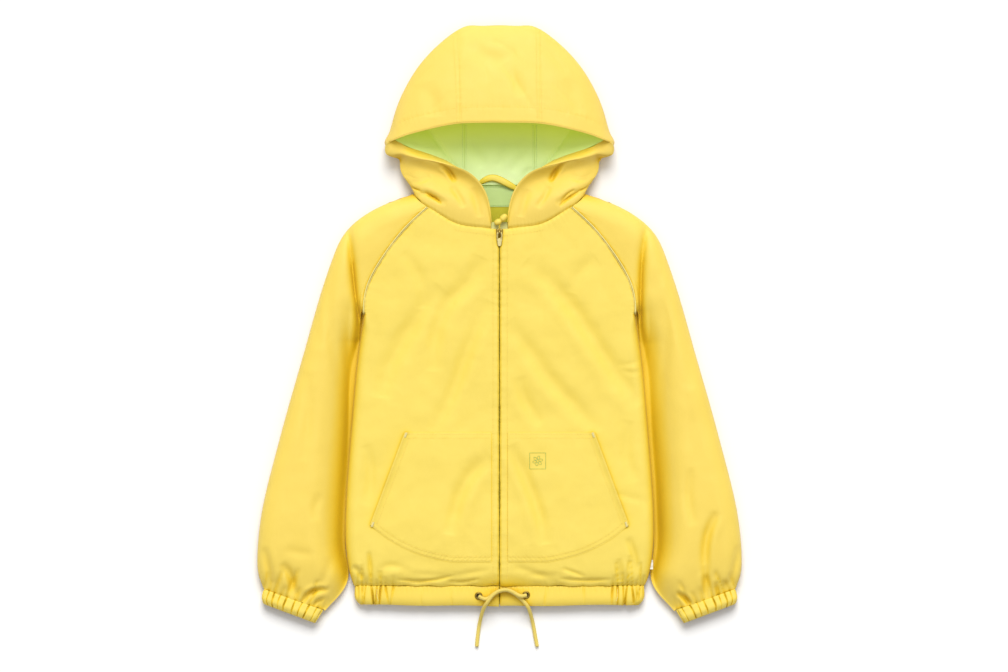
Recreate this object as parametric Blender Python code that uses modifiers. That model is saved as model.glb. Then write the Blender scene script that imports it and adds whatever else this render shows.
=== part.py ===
"""A child's hooded windbreaker jacket, about 7-8 years, laid flat on its back with the zip closed.

Frame: +Z up from the surface the jacket lies on, +Y towards the hood, +X to the wearer's left.
The origin is the middle of the jacket's footprint. Sizes below are millimetres; MM turns them
into Blender's metres where a mesh is made.

Every cloth piece is an open sheet of points, worked out from short tables of sections, which
Solidify makes into a wall. Left and right pieces are mirror images.
"""
import math
from collections import namedtuple

import bmesh
import bpy
import numpy as np

MM = 0.001

# ---- driving sizes ----
WALL = 1.5                 # shell cloth, face and backing together
HEM_WALL = 2.0             # hem casing, cloth folded double
THIN = 1.0                 # lining, tapes, labels
SEAM = 0.4                 # gap between sewn pieces
LIFT = 0.4                 # gap between a piece and the panel it lies on
SIDE_REACH = 24.0          # how far the round side of a flattened tube reaches inwards
STRIP = 1.5                # upright strip on each side of a side seam
HEIGHT = 30.0              # body above the armpit, laid flat
HEM_HEIGHT = 16.0          # hem casing, laid flat
ZIP_EDGE = 2.0             # front edge beside the zip
HEM_SEAM_Y = -327.0
ARMPIT = (169.5, 12.0)

BodySection = namedtuple("BodySection", "y half_width height")
BODY = [
    BodySection(-327.0, 180.5, 16.5),
    BodySection(-318.0, 184.5, 21.5),
    BodySection(-300.0, 189.0, 25.5),
    BodySection(-275.0, 192.0, 27.0),
    BodySection(-235.0, 192.3, 27.5),
    BodySection(-180.0, 189.0, 28.0),
    BodySection(-118.0, 184.0, 28.5),
    BodySection(-60.0, 179.0, 29.2),
    BodySection(12.0, 169.5, HEIGHT),
]

# Raglan seams in plan, from the armpit to the neck.
FRONT_RAGLAN = [(169.5, 12), (169.0, 29), (164, 51), (157, 66), (144, 87), (117, 121.5), (90, 147)]
BACK_RAGLAN = [(169.5, 12), (167.5, 32), (157, 63), (130, 106), (86, 164.5)]
FRONT_RAGLAN_STEPS = 9
BACK_RAGLAN_STEPS = 6
RAGLAN_CROWDING = 0.9      # how much closer its points stand near the armpit

# The neck seam, half of it, from the middle of the back round the shoulder to the zip.
NeckPoint = namedtuple("NeckPoint", "x y z")
NECK_BACK = [
    NeckPoint(0.0, 163.5, 0.0),
    NeckPoint(22.5, 163.6, 0.0),
    NeckPoint(45.0, 163.8, 0.0),
    NeckPoint(62.0, 164.0, 0.0),
    NeckPoint(76.0, 164.3, 0.0),
    NeckPoint(86.0, 164.5, 0.0),
]
NECK_SHOULDER = [
    NeckPoint(94.0, 164.8, 1.5),
    NeckPoint(101.0, 164.6, 6.0),
    NeckPoint(106.0, 162.6, 15.0),
    NeckPoint(104.0, 158.6, 23.0),
    NeckPoint(98.5, 153.0, 28.0),
]
NECK_FRONT = [
    NeckPoint(90.0, 147.0, HEIGHT),
    NeckPoint(76.0, 138.6, HEIGHT),
    NeckPoint(63.0, 130.5, HEIGHT),
    NeckPoint(50.0, 125.0, HEIGHT),
    NeckPoint(36.0, 122.5, HEIGHT),
    NeckPoint(22.0, 121.0, HEIGHT),
    NeckPoint(10.5, 119.4, HEIGHT),
    NeckPoint(ZIP_EDGE, 118.5, HEIGHT),
]
# Where the front's columns stand along the hem, as shares of its width.
FRONT_COLUMNS = (0.0, 0.13, 0.3, 0.48, 0.65, 0.78, 0.88, 1.0)
BACK_COLUMNS = (0.0, 0.2, 0.4, 0.62, 0.84, 1.0)
SIDE_COLUMNS = (0.45, 0.2, 0.06)     # extra columns on the round side, as shares of the last gap
ARMPIT_EASE = 0.5          # above the armpit the edge column moves in by this share of its gap

SleeveSection = namedtuple("SleeveSection", "inner_x inner_y outer_x outer_y height")
SLEEVE = [
    SleeveSection(169.5, 12.0, 106.0, 162.6, 30.0),
    SleeveSection(173.0, -8.0, 150.0, 146.5, 31.0),
    SleeveSection(177.2, -30.0, 189.5, 118.0, 32.5),
    SleeveSection(180.6, -60.0, 208.0, 83.0, 33.5),
    SleeveSection(184.2, -100.0, 222.5, 40.0, 34.0),
    SleeveSection(188.6, -150.0, 243.0, -32.0, 34.0),
    SleeveSection(192.0, -200.0, 262.0, -98.0, 34.0),
    SleeveSection(194.2, -250.0, 282.0, -172.0, 34.0),
    SleeveSection(193.2, -288.0, 297.0, -237.0, 33.0),
    SleeveSection(190.8, -316.0, 302.0, -285.0, 30.0),
    SleeveSection(201.0, -337.0, 300.5, -313.0, 25.0),
    SleeveSection(219.5, -356.0, 294.0, -329.6, 19.0),
]
SLEEVE_REACH = 15.0
SHOULDER_COLUMNS = 3       # columns of the sleeve between the raglan seam and the fold at the neck
RAGLAN_ALLOWANCE = 0.8     # the sleeve keeps this far off the raglan line, under the piping
SEAM_BEND_FADE = 2.2       # how fast the raglan curve straightens down the sleeve
UNDERARM_OFFSET = (0.3, -0.5)    # keeps the sleeve's underarm point out of the armpit's corner

Fold = namedtuple("Fold", "start middle end width depth")
FOLD_CLEARANCE = 16.0      # folds fade out this close to the raglan seam
SLEEVE_FOLDS = [
    Fold((188, 118), (181.5, 60), (173, -8), 10.0, 8.0),
    Fold((193, -60), (202, -170), (206, -290), 9.0, 5.5),
]

CuffEnd = namedtuple("CuffEnd", "inner_x inner_y outer_x outer_y height")
CUFF = [
    CuffEnd(219.6, -356.4, 294.1, -330.0, 18.0),
    CuffEnd(223.5, -362.0, 295.5, -337.0, 17.0),
    CuffEnd(227.5, -368.5, 296.0, -343.5, 17.5),
    CuffEnd(230.0, -373.0, 294.5, -348.5, 15.0),
]
CUFF_PLEATS = 17
CUFF_PLEAT_DEPTHS = (1.5, 0.9, 1.3, 1.7, 1.0)
CUFF_ROUNDNESS = 0.45      # power of the cuff's squarish oval section

HemSection = namedtuple("HemSection", "y half_width height")
HEM = [
    HemSection(-327.4, 180.5, 15.4),
    HemSection(-334.0, 181.0, HEM_HEIGHT),
    HemSection(-344.0, 178.0, HEM_HEIGHT),
    HemSection(-349.8, 170.0, 14.4),
]
HEM_REACH = 11.0
HEM_FLAT_COLUMNS = (0.0, 0.12, 0.2, 0.45, 0.75)
HEM_ELASTIC_X = 147.0
HEM_PLEATS = 11
HEM_PLEAT_DEPTHS = (1.3, 0.7, 1.1, 1.5)

# Hood: each row runs from the face edge over the side fold and along the back to the neck seam.
CrownRow = namedtuple("CrownRow", "face_x face_y face_z fold_x fold_y fold_z under_x under_y under_z")
CROWN = [
    CrownRow(0.0, 250.6, 57.0, 0.0, 373.0, 18.0, 0.0, 342.0, 0.0),
    CrownRow(25.0, 250.4, 56.8, 25.0, 372.3, 18.0, 25.0, 341.0, 0.0),
    CrownRow(50.0, 249.4, 56.0, 49.5, 368.5, 18.0, 47.0, 338.0, 0.0),
    CrownRow(75.0, 245.4, 53.5, 88.0, 337.0, 18.0, 76.0, 312.0, 0.0),
    CrownRow(97.0, 240.3, 49.5, 113.5, 302.0, 17.0, 93.0, 284.0, 0.0),
    CrownRow(115.0, 235.5, 44.5, 129.0, 268.0, 16.5, 104.0, 254.0, 0.0),
    CrownRow(130.0, 230.3, 38.0, 139.0, 238.0, 16.0, 113.0, 225.0, 0.0),
    CrownRow(139.5, 226.0, 32.0, 143.5, 224.0, 16.0, 118.0, 205.0, 0.5),
    CrownRow(142.5, 217.5, 29.0, 124.0, 200.0, 13.0, 115.0, 180.0, 13.0),
]
CROWN_SEAM = 2             # the row that the crown seam follows
CROWN_ALLOWANCE = 0.6
CROWN_STEPS = (2, 3, 2, 1)
BROW_SHARE = 0.58          # place of the brow between face edge and fold

CheekRow = namedtuple("CheekRow", "face_x face_y face_z dip_z bulge_z")
CHEEK = [
    CheekRow(131.0, 210.0, 30.0, 20.0, 20.0),
    CheekRow(118.0, 206.5, 32.5, 24.0, 25.5),
    CheekRow(102.0, 203.5, 35.0, 25.5, 30.5),
    CheekRow(83.0, 200.6, 37.0, 26.0, 33.0),
    CheekRow(64.0, 197.6, 38.0, 27.0, 34.0),
    CheekRow(45.0, 192.0, 38.0, 29.0, 34.5),
    CheekRow(29.0, 181.0, 37.5, 32.0, 34.5),
    CheekRow(16.0, 160.0, 36.5, 34.5, 34.0),
    CheekRow(11.0, 128.0, 35.0, 34.0, 33.0),
]
CHEEK_STEPS = (2, 3, 3)
DIP_SHARE = 0.24
BULGE_SHARE = 0.62

# Green lining: flat on the hood's back, rising beyond a diagonal crease to the facing.
LINING_Z = 2.9
LINING_TOP_Y = 285.0
LINING_LOW_Y = 174.6
LINING_SEAM_X = 44.0
LINING_CREASE = ((58.0, 201.0), (90.0, 243.0))
LINING_RISE = 0.62
LINING_COLUMNS = 5
LiningRow = namedtuple("LiningRow", "inner_y outer_x outer_y")
LINING_SIDE = [
    LiningRow(174.6, 84.0, 176.0),
    LiningRow(184.0, 92.0, 189.0),
    LiningRow(193.0, 74.0, 200.0),
    LiningRow(203.0, 86.0, 211.5),
    LiningRow(214.0, 104.0, 217.9),
    LiningRow(226.0, 121.0, 225.2),
    LiningRow(238.0, 132.5, 233.6),
    LiningRow(254.0, 122.0, 252.0),
    LiningRow(285.0, 90.0, 285.0),
]
FACING_LIFT = 0.7          # facing above the lining where they meet
FACING_CROWN = 0.8         # how far its middle rounds up
FACING_START = 1.2         # how far it starts from the lining's edge
FacingRow = namedtuple("FacingRow", "line_x line_y edge_x edge_y edge_z")
FACING = [
    FacingRow(134.8, 234.0, 137.0, 228.6, 29.0),
    FacingRow(129.0, 231.0, 137.6, 221.8, 27.5),
    FacingRow(121.8, 225.0, 129.0, 212.6, 28.0),
    FacingRow(104.0, 217.4, 103.0, 206.4, 32.0),
    FacingRow(84.0, 211.0, 84.0, 203.4, 33.5),
    FacingRow(67.0, 204.4, 65.0, 200.6, 34.5),
]

# Inside the back of the neck: a tape over the seam, a bare label and a hanger loop.
NECK_TAPE = ((-60.0, 0.0, 60.0), (147.0, 174.0))
NECK_LABEL = ((-15.0, 19.0), (128.0, 146.5))
NECK_INSIDE_Z = 3.1
HANGER_LOOP = [(-26, 176, 4.6), (-18, 181.5, 7.5), (-6, 183, 8.5), (8, 176.5, 7.5), (23, 168, 4.6)]
HANGER_HALF = 3.4
HANGER_CROWN = 1.0
HANGER_STEPS = 8

POCKET_WALL = 1.2
PocketRow = namedtuple("PocketRow", "y outer_x")
POCKET = [
    PocketRow(-134.5, 118.3),
    PocketRow(-180.0, 135.3),
    PocketRow(-235.0, 155.8),
    PocketRow(-249.5, 161.3),
    PocketRow(-262.0, 147.0),
    PocketRow(-275.0, 127.0),
    PocketRow(-288.0, 97.0),
    PocketRow(-296.5, 60.0),
]
POCKET_INNER_X = 11.5
POCKET_COLUMNS = (0.0, 0.31, 0.59, 0.83, 1.0)

PIPING_RADIUS = 1.0
PIPING_LIFT = 0.5
PIPING_NECK_GAP = 1.5      # the piping stops this far from the hood's seam
SIDE_LABEL_Y = (-305.0, -300.0, -294.0)
SIDE_LABEL_COLUMNS = (-5, -4)    # it lies on these two columns of the front

ZIP_TAPE_WIDTH = 12.0
ZIP_TAPE_DROP = 0.8        # tape below the fronts' inner face
ZIP_TOP_Y = 127.5
COIL_HALF = 1.5
COIL_WALL = 1.6
COIL_GAP = 0.4             # between coil and tapes
SLIDER_Y = 114.8
SLIDER_Z = HEIGHT + LIFT
SLIDER_HALF = (4.2, 4.5)   # half width and half length of its plate
SLIDER_PLATE = 2.4
SLIDER_BEVEL = 0.8
BRIDGE_HALF_WIDTH = 1.1
BRIDGE_FROM = (-3.6, 1.6)  # its corners in y and z, from the plate's middle and underside
BRIDGE_TO = (3.0, 5.6)
BRIDGE_BEVEL = 0.5
PULL_AXIS = (0.0, SLIDER_Y - 1.2, SLIDER_Z + SLIDER_PLATE + 1.8)
PULL_HOLE_RADIUS = 1.25
PULL_HALF_THICK = 0.6
PULL_TILT = math.radians(12)
# The pull's outline and window, from its axis; the bar between their tops turns in the bridge.
PULL_OUTLINE = [(-3.7, 0.65), (3.7, 0.65), (3.7, -6.5), (2.3, -16.0), (1.6, -17.6), (-1.6, -17.6),
                (-2.3, -16.0), (-3.7, -6.5)]
PULL_WINDOW = [(-1.75, -0.65), (-1.75, -6.2), (1.75, -6.2), (1.75, -0.65)]

CHIN_GUARD = [(-5.0, 126.4, 31.6), (1.0, 128.4, 32.6), (7.6, 134.8, 34.6)]
CHIN_GUARD_RADIUS = 3.4
CHIN_GUARD_STEPS = 5

CORD_RADIUS = 2.4
CORD_STEPS = 15
EYELET_RING = 3.9
EYELET_WIRE = 0.9
EYELET_LEFT = (33.3, -337.4)
EYELET_RIGHT = (-26.1, -338.6)
# Drawcord routes: out of an eyelet, in an arch over the zip, and down over the hem on the far side.
CORD_FROM_RIGHT = [
    (-26.1, -338.6, 21.0), (-17.4, -342.4, 19.8), (-9.0, -338.0, 19.2), (0.2, -332.6, 19.2),
    (9.0, -331.6, 19.2), (20.1, -336.6, 19.2), (28.6, -344.0, 19.0), (34.6, -351.0, 17.4),
    (38.6, -361.0, 10.8), (41.8, -374.0, 3.6), (44.4, -388.0, 2.4), (47.2, -403.0, 2.4),
]
CORD_FROM_LEFT = [
    (33.3, -337.4, 21.4), (27.0, -338.6, 24.2), (18.5, -334.6, 24.6), (9.5, -331.0, 24.6),
    (0.2, -332.0, 24.6), (-8.4, -337.4, 24.8), (-14.6, -345.4, 24.4), (-19.4, -353.6, 18.6),
    (-22.8, -364.0, 10.6), (-25.4, -376.0, 3.8), (-27.2, -389.0, 2.4), (-28.5, -403.0, 2.4),
]

COLOURS = {
    "shell": ((0.96, 0.76, 0.10), 0.62, 0.0),
    "lining": ((0.56, 0.80, 0.30), 0.7, 0.0),
    "tape": ((0.93, 0.88, 0.45), 0.7, 0.0),
    "piping": ((0.93, 0.88, 0.36), 0.55, 0.0),
    "label": ((0.88, 0.87, 0.66), 0.6, 0.0),
    "brass": ((0.62, 0.44, 0.14), 0.35, 1.0),
    "cord": ((0.93, 0.74, 0.14), 0.75, 0.0),
}


# ---- lines and surfaces ----
def natural_spline(knots, values, at):
    """The natural cubic spline through values at rising knots, read at the places asked for."""
    knots, values, at = (np.asarray(item, float) for item in (knots, values, at))
    count = len(knots)
    step = np.diff(knots)
    slope = np.diff(values, axis=0) / step[:, None]
    system = np.eye(count)
    right = np.zeros_like(values)
    for i in range(1, count - 1):
        system[i, i - 1:i + 2] = step[i - 1], 2 * (step[i - 1] + step[i]), step[i]
        right[i] = 6 * (slope[i] - slope[i - 1])
    bend = np.linalg.solve(system, right)
    low = np.clip(np.searchsorted(knots, at, side="right") - 1, 0, count - 2)
    width = step[low][:, None]
    upper = (at[:, None] - knots[low][:, None]) / width
    lower = 1 - upper
    curve = lower * values[low] + upper * values[low + 1]
    return curve + ((lower ** 3 - lower) * bend[low] + (upper ** 3 - upper) * bend[low + 1]) * width ** 2 / 6


def run(points):
    """Length along a line of points, at each of them."""
    gaps = np.linalg.norm(np.diff(np.asarray(points, float), axis=0), axis=1)
    return np.concatenate([[0.0], np.cumsum(gaps)])


def smooth(points, shares):
    """A smooth curve through points, read at shares of its length from 0 to 1."""
    length = run(points)
    return natural_spline(length, points, np.asarray(shares) * length[-1])


def stepped(points, steps):
    """A smooth curve through points, with steps[i] even steps between point i and the next."""
    length = run(points)
    at = [length[0]]
    for i, count in enumerate(steps):
        at += list(np.linspace(length[i], length[i + 1], count + 1)[1:])
    return natural_spline(length, points, at)


def distance_to(points, line):
    """Distance in plan from each point to the nearest place on a line of straight runs."""
    line = np.asarray(line, float)
    start = line[:-1]
    along = np.diff(line, axis=0)
    offset = points[..., None, :] - start
    share = np.clip((offset * along).sum(-1) / (along ** 2).sum(-1), 0, 1)
    return np.linalg.norm(offset - share[..., None] * along, axis=-1).min(-1)


def rounded(distance, reach):
    """A quarter ellipse: 0 at the edge, rising to 1 at `reach` from it."""
    return np.sqrt(1 - (1 - np.clip(distance / reach, 0, 1)) ** 2)


def coons(bottom, top, left, right):
    """The grid of points between four edges; rows run from bottom to top."""
    across = (run(bottom) / run(bottom)[-1])[None, :, None]
    up = (run(left) / run(left)[-1])[:, None, None]
    ruled = (1 - up) * bottom[None] + up * top[None] + (1 - across) * left[:, None] + across * right[:, None]
    corners = (1 - up) * ((1 - across) * bottom[0] + across * bottom[-1])
    return ruled - corners - up * ((1 - across) * top[0] + across * top[-1])


def mirrored(grid):
    """The same points on the wearer's right."""
    return grid * np.array([-1.0, 1.0, 1.0])


def pulled_in(grid, by=SEAM * 0.6, first_row=False, last_row=False, last_column=False):
    """The grid with the named edges drawn in, so that neighbours keep a seam gap."""
    grid = grid.copy()
    pairs = [(first_row, np.s_[0], np.s_[1]), (last_row, np.s_[-1], np.s_[-2]),
             (last_column, np.s_[:, -1], np.s_[:, -2])]
    for wanted, edge, beside in pairs:
        if wanted:
            inwards = grid[beside] - grid[edge]
            size = np.linalg.norm(inwards, axis=-1, keepdims=True)
            grid[edge] += inwards / size * np.minimum(by, size * 0.5)
    return grid


def moved_out(grid, by):
    """The points of a grid moved out along its upward normals."""
    across = np.gradient(grid, axis=1)
    up = np.gradient(grid, axis=0)
    normal = np.cross(across, up)
    return grid + normal / np.linalg.norm(normal, axis=-1, keepdims=True) * by


# ---- objects ----
def clear_scene():
    for item in list(bpy.data.objects):
        bpy.data.objects.remove(item, do_unlink=True)
    collection = bpy.data.collections.new("windbreaker_jacket")
    bpy.context.scene.collection.children.link(collection)
    return collection


def make_materials():
    made = {}
    for name, (colour, roughness, metallic) in COLOURS.items():
        material = bpy.data.materials.new(name)
        material.use_nodes = True
        shader = material.node_tree.nodes["Principled BSDF"]
        shader.inputs["Base Color"].default_value = (*colour, 1.0)
        shader.inputs["Roughness"].default_value = roughness
        shader.inputs["Metallic"].default_value = metallic
        made[name] = material
    return made


def add_object(name, data, material):
    item = bpy.data.objects.new(name, data)
    COLLECTION.objects.link(item)
    data.materials.append(MATERIALS[material])
    return item


def sheet(name, grid, material="shell", wall=WALL, ring=False, flip=False):
    """A cloth piece: a grid of points as an open surface, with a wall made inwards from it."""
    rows, columns = grid.shape[:2]
    faces = []
    for i in range(rows - 1):
        for j in range(columns if ring else columns - 1):
            k = (j + 1) % columns
            face = (i * columns + j, i * columns + k, (i + 1) * columns + k, (i + 1) * columns + j)
            faces.append(face[::-1] if flip else face)
    mesh = bpy.data.meshes.new(name)
    mesh.from_pydata((grid.reshape(-1, 3) * MM).tolist(), [], faces)
    mesh.shade_smooth()
    item = add_object(name, mesh, material)
    cloth = item.modifiers.new("wall", "SOLIDIFY")
    cloth.thickness = wall * MM
    cloth.offset = -1
    return item


def both_sides(name, grid, **options):
    """The wearer's left piece and its mirror image."""
    sheet(name + "_left", grid, **options)
    sheet(name + "_right", mirrored(grid), flip=True, **options)


def tube(name, points, radius, material, resolution=2):
    """A round cord or piping along a line of points."""
    data = bpy.data.curves.new(name, "CURVE")
    data.dimensions = "3D"
    data.resolution_u = 1
    data.bevel_depth = radius * MM
    data.bevel_resolution = resolution
    data.use_fill_caps = True
    spline = data.splines.new("POLY")
    spline.points.add(len(points) - 1)
    for point, place in zip(spline.points, points):
        point.co = (*(np.asarray(place) * MM), 1.0)
    return add_object(name, data, material)


# ---- body ----
def column_of(table, field):
    return np.array([getattr(row, field) for row in table])


def side_line():
    """The body's side edge in plan, from the hem seam up to the armpit."""
    return np.stack([column_of(BODY, "half_width"), column_of(BODY, "y")], axis=-1)


def body_height(y):
    return np.interp(y, column_of(BODY, "y"), column_of(BODY, "height"))


def front_z(plan):
    """Height of the fronts' outer face over points in plan."""
    half = body_height(plan[..., 1]) / 2
    edge = distance_to(np.abs(plan) * (1, 0) + plan * (0, 1), side_line())
    return half + STRIP + (half - STRIP) * rounded(edge, SIDE_REACH)


def back_z(plan):
    """Height of the back's outer face: flat on the surface, curling up at the sides."""
    half = body_height(plan[..., 1]) / 2
    edge = distance_to(np.abs(plan) * (1, 0) + plan * (0, 1), side_line())
    return (half - STRIP) * (1 - rounded(edge, SIDE_REACH))


def raglan(points, steps):
    """A raglan seam in plan, with its points close together near the armpit."""
    turn = np.pi * RAGLAN_CROWDING
    return smooth(points, (1 - np.cos(turn * np.linspace(0, 1, steps + 1))) / (1 - math.cos(turn)))


def body_panel(columns, neck, seam, inner_x, height, towards_seam):
    """Half a body panel from its middle edge to the side seam, rows from hem to neck."""
    side = side_line()
    right = np.concatenate([side, seam[1:]])
    top = np.array([(p.x, p.y) for p in neck])
    bottom_x = inner_x + (side[0, 0] - inner_x) * np.array(columns)
    bottom = np.stack([bottom_x, np.full(len(bottom_x), HEM_SEAM_Y)], axis=-1)
    rows = len(right)
    armpit_row = len(side) - 1
    neck_y = top[0, 1]
    left_y = np.concatenate([side[:, 1], np.linspace(ARMPIT[1], neck_y, rows - armpit_row)[1:]])
    left = np.stack([np.full(rows, inner_x), left_y], axis=-1)
    plan = coons(bottom, top, left, right)
    rounding = [plan[:, -1:] + (plan[:, -2:-1] - plan[:, -1:]) * share for share in SIDE_COLUMNS]
    plan = np.concatenate([plan[:, :-1], *rounding, plan[:, -1:]], axis=1)
    surface = np.concatenate([plan, height(plan)[..., None]], axis=-1)
    # one more column: an upright strip along the side seam, a narrow one along the raglan seam
    extra = surface[:, -1:].copy()
    above = np.s_[armpit_row + 1:]
    surface[above, -1] += (surface[above, -2] - surface[above, -1]) * ARMPIT_EASE
    side_z = body_height(side[:, 1]) / 2 + towards_seam * SEAM / 2
    side_z[-1] += towards_seam * SEAM
    extra[:armpit_row + 1, 0, 2] = side_z
    surface = np.concatenate([surface, extra], axis=1)
    return surface, armpit_row


def pull_in_panel(surface, armpit_row):
    """Seam gaps along the hem, the raglan seam and the neck; the side seam has its own."""
    grid = pulled_in(surface, first_row=True, last_row=True)
    upper = pulled_in(grid, last_column=True)
    grid[armpit_row + 1:, -1] = upper[armpit_row + 1:, -1]
    grid[armpit_row, -2:, 1] -= SEAM / 2
    return grid


def front_grid():
    seam = raglan(FRONT_RAGLAN, FRONT_RAGLAN_STEPS)
    surface, armpit_row = body_panel(FRONT_COLUMNS, NECK_FRONT[::-1], seam, ZIP_EDGE, front_z, 1)
    return pull_in_panel(surface, armpit_row)


def make_fronts():
    both_sides("front", front_grid())


def make_back():
    seam = raglan(BACK_RAGLAN, BACK_RAGLAN_STEPS)
    surface, armpit_row = body_panel(BACK_COLUMNS, NECK_BACK, seam, 0.0, back_z, -1)
    half = pull_in_panel(surface, armpit_row)
    grid = np.concatenate([mirrored(half)[:, :0:-1], half], axis=1)
    sheet("back", grid, flip=True)


# ---- sleeves and cuffs ----
def fold_depth(plan, folds):
    """How far soft troughs lower the cloth at points in plan."""
    depth = np.zeros(plan.shape[:-1])
    for fold in folds:
        line = smooth(np.array([fold.start, fold.middle, fold.end], float), np.linspace(0, 1, 9))
        near = distance_to(plan, line)
        depth += fold.depth * np.exp(-(near / fold.width) ** 2)
    return depth


def sleeve_half(start, side):
    """Half a sleeve's points, rows down the arm and columns from its inner to its outer edge.

    It ends on each side in an upright strip, where it meets the other half along the fold.
    """
    inner = np.stack([column_of(SLEEVE, "inner_x"), column_of(SLEEVE, "inner_y")], axis=-1)
    outer = np.stack([column_of(SLEEVE, "outer_x"), column_of(SLEEVE, "outer_y")], axis=-1)
    half = column_of(SLEEVE, "height")[:, None] / 2
    count = len(start)
    share = (1 - np.cos(np.pi * np.linspace(0, 1, count))) / 2
    bend = start[:, :2] - (inner[0] + (outer[0] - inner[0]) * share[:, None])
    down = run((inner + outer) / 2)
    fade = np.clip(1 - down / down[-1], 0, 1) ** SEAM_BEND_FADE
    plan = inner[:, None] + (outer - inner)[:, None] * share[None, :, None] + fade[:, None, None] * bend[None]
    edge = np.minimum(distance_to(plan, inner), distance_to(plan, outer))
    edge[:, 0] = 0
    edge[:, -1] = 0
    reach = SLEEVE_REACH + (SIDE_REACH - SLEEVE_REACH) * fade[:, None] ** 2
    bulge = rounded(edge, reach)
    z = half + side * (STRIP + (half - STRIP) * bulge)
    if side > 0:
        from_seam = np.clip(distance_to(plan, start[:, :2]) / FOLD_CLEARANCE, 0, 1)
        z -= fold_depth(plan, SLEEVE_FOLDS) * bulge * from_seam
    z[0, 1:-1] = start[1:-1, 2]
    grid = np.concatenate([plan, z[..., None]], axis=-1)
    grid[0, 0, :2] += UNDERARM_OFFSET
    grid = np.concatenate([grid[:, :1], grid, grid[:, -1:]], axis=1)
    grid[:, [0, -1], 2] = half + side * SEAM / 2
    return pulled_in(grid, by=RAGLAN_ALLOWANCE, first_row=True)


def neck_points(points):
    return np.array([(p.x, p.y, p.z) for p in points])


def make_sleeves():
    """Each sleeve is a flattened tube, in a front half and a back half."""
    shoulder = neck_points(NECK_SHOULDER)
    front_seam = raglan(FRONT_RAGLAN, FRONT_RAGLAN_STEPS)
    front_start = np.concatenate([front_seam, front_z(front_seam)[:, None]], axis=-1)
    front_start = np.concatenate([front_start, shoulder[:1:-1]])
    back_seam = raglan(BACK_RAGLAN, BACK_RAGLAN_STEPS)
    back_start = np.concatenate([back_seam, back_z(back_seam)[:, None]], axis=-1)
    back_start = np.concatenate([back_start, shoulder[:SHOULDER_COLUMNS]])
    both_sides("sleeve_front", sleeve_half(front_start, 1)[::-1])
    both_sides("sleeve_back", sleeve_half(back_start, -1)[::-1, ::-1])


def oval(inner, outer, height, count):
    """An even ring round a flattened tube's end, and its outward directions."""
    angle = np.linspace(0, 2 * np.pi, 721)
    across = -np.sign(np.cos(angle)) * np.abs(np.cos(angle)) ** CUFF_ROUNDNESS
    up = np.sign(np.sin(angle)) * np.abs(np.sin(angle)) ** CUFF_ROUNDNESS
    width = np.linalg.norm(outer - inner)
    flat = np.stack([across * width / 2, up * height / 2], axis=-1)
    length = run(flat)
    at = np.linspace(0, length[-1], count, endpoint=False)
    flat = np.stack([np.interp(at, length, flat[:, i]) for i in range(2)], axis=-1)
    tangent = np.roll(flat, -1, axis=0) - np.roll(flat, 1, axis=0)
    out = np.stack([-tangent[:, 1], tangent[:, 0]], axis=-1)
    return flat, out / np.linalg.norm(out, axis=1, keepdims=True)


def make_cuffs():
    count = CUFF_PLEATS * 2
    rows = []
    for level, end in enumerate(CUFF):
        inner = np.array([end.inner_x, end.inner_y])
        outer = np.array([end.outer_x, end.outer_y])
        flat, out = oval(inner, outer, end.height, count)
        depth = np.array([CUFF_PLEAT_DEPTHS[(i // 2) % len(CUFF_PLEAT_DEPTHS)] for i in range(count)])
        flat -= out * (depth * (np.arange(count) % 2))[:, None]
        along = (outer - inner) / np.linalg.norm(outer - inner)
        middle = (inner + outer) / 2
        plan = middle + flat[:, :1] * along
        z = np.maximum(end.height / 2 + flat[:, 1], 0)
        rows.append(np.concatenate([plan, z[:, None]], axis=-1))
    both_sides("cuff", np.array(rows[::-1]), ring=True)


# ---- hem ----
def hem_pleat(x):
    """Depth of the elastic's pleats at a distance from the zip."""
    along = np.clip((np.abs(x) - HEM_ELASTIC_X) / (HEM[0].half_width - HEM_ELASTIC_X), 0, 1) * HEM_PLEATS
    index = np.round(along).astype(int)
    depth = np.array(HEM_PLEAT_DEPTHS)[(index // 2) % len(HEM_PLEAT_DEPTHS)]
    return np.where((index % 2 == 1) & (index < HEM_PLEATS), depth, 0.0)


def hem_half(inner_x, side):
    """Half of the hem casing's points, rows from the seam to its lower edge."""
    flat = inner_x + (HEM_ELASTIC_X - inner_x) * np.array(HEM_FLAT_COLUMNS)
    elastic = np.linspace(HEM_ELASTIC_X, HEM[0].half_width, HEM_PLEATS + 1)
    line = np.concatenate([flat, elastic])
    rows = []
    for section in HEM:
        scale = (section.half_width - HEM_ELASTIC_X) / (HEM[0].half_width - HEM_ELASTIC_X)
        x = np.where(line > HEM_ELASTIC_X, HEM_ELASTIC_X + (line - HEM_ELASTIC_X) * scale, line)
        half = section.height / 2
        bulge = rounded(section.half_width - x, HEM_REACH)
        z = half + side * (STRIP + (half - STRIP) * bulge - hem_pleat(line))
        row = np.stack([x, np.full(len(x), section.y), z], axis=-1)
        seam = row[-1:].copy()
        seam[0, 2] = half + side * SEAM / 2
        rows.append(np.concatenate([row, seam]))
    return np.array(rows)[::-1]


def make_hem():
    both_sides("hem_front", hem_half(ZIP_EDGE, 1), wall=HEM_WALL)
    half = hem_half(0.0, -1)
    grid = np.concatenate([mirrored(half)[:, :0:-1], half], axis=1)
    sheet("hem_back", grid, wall=HEM_WALL, flip=True)


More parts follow.
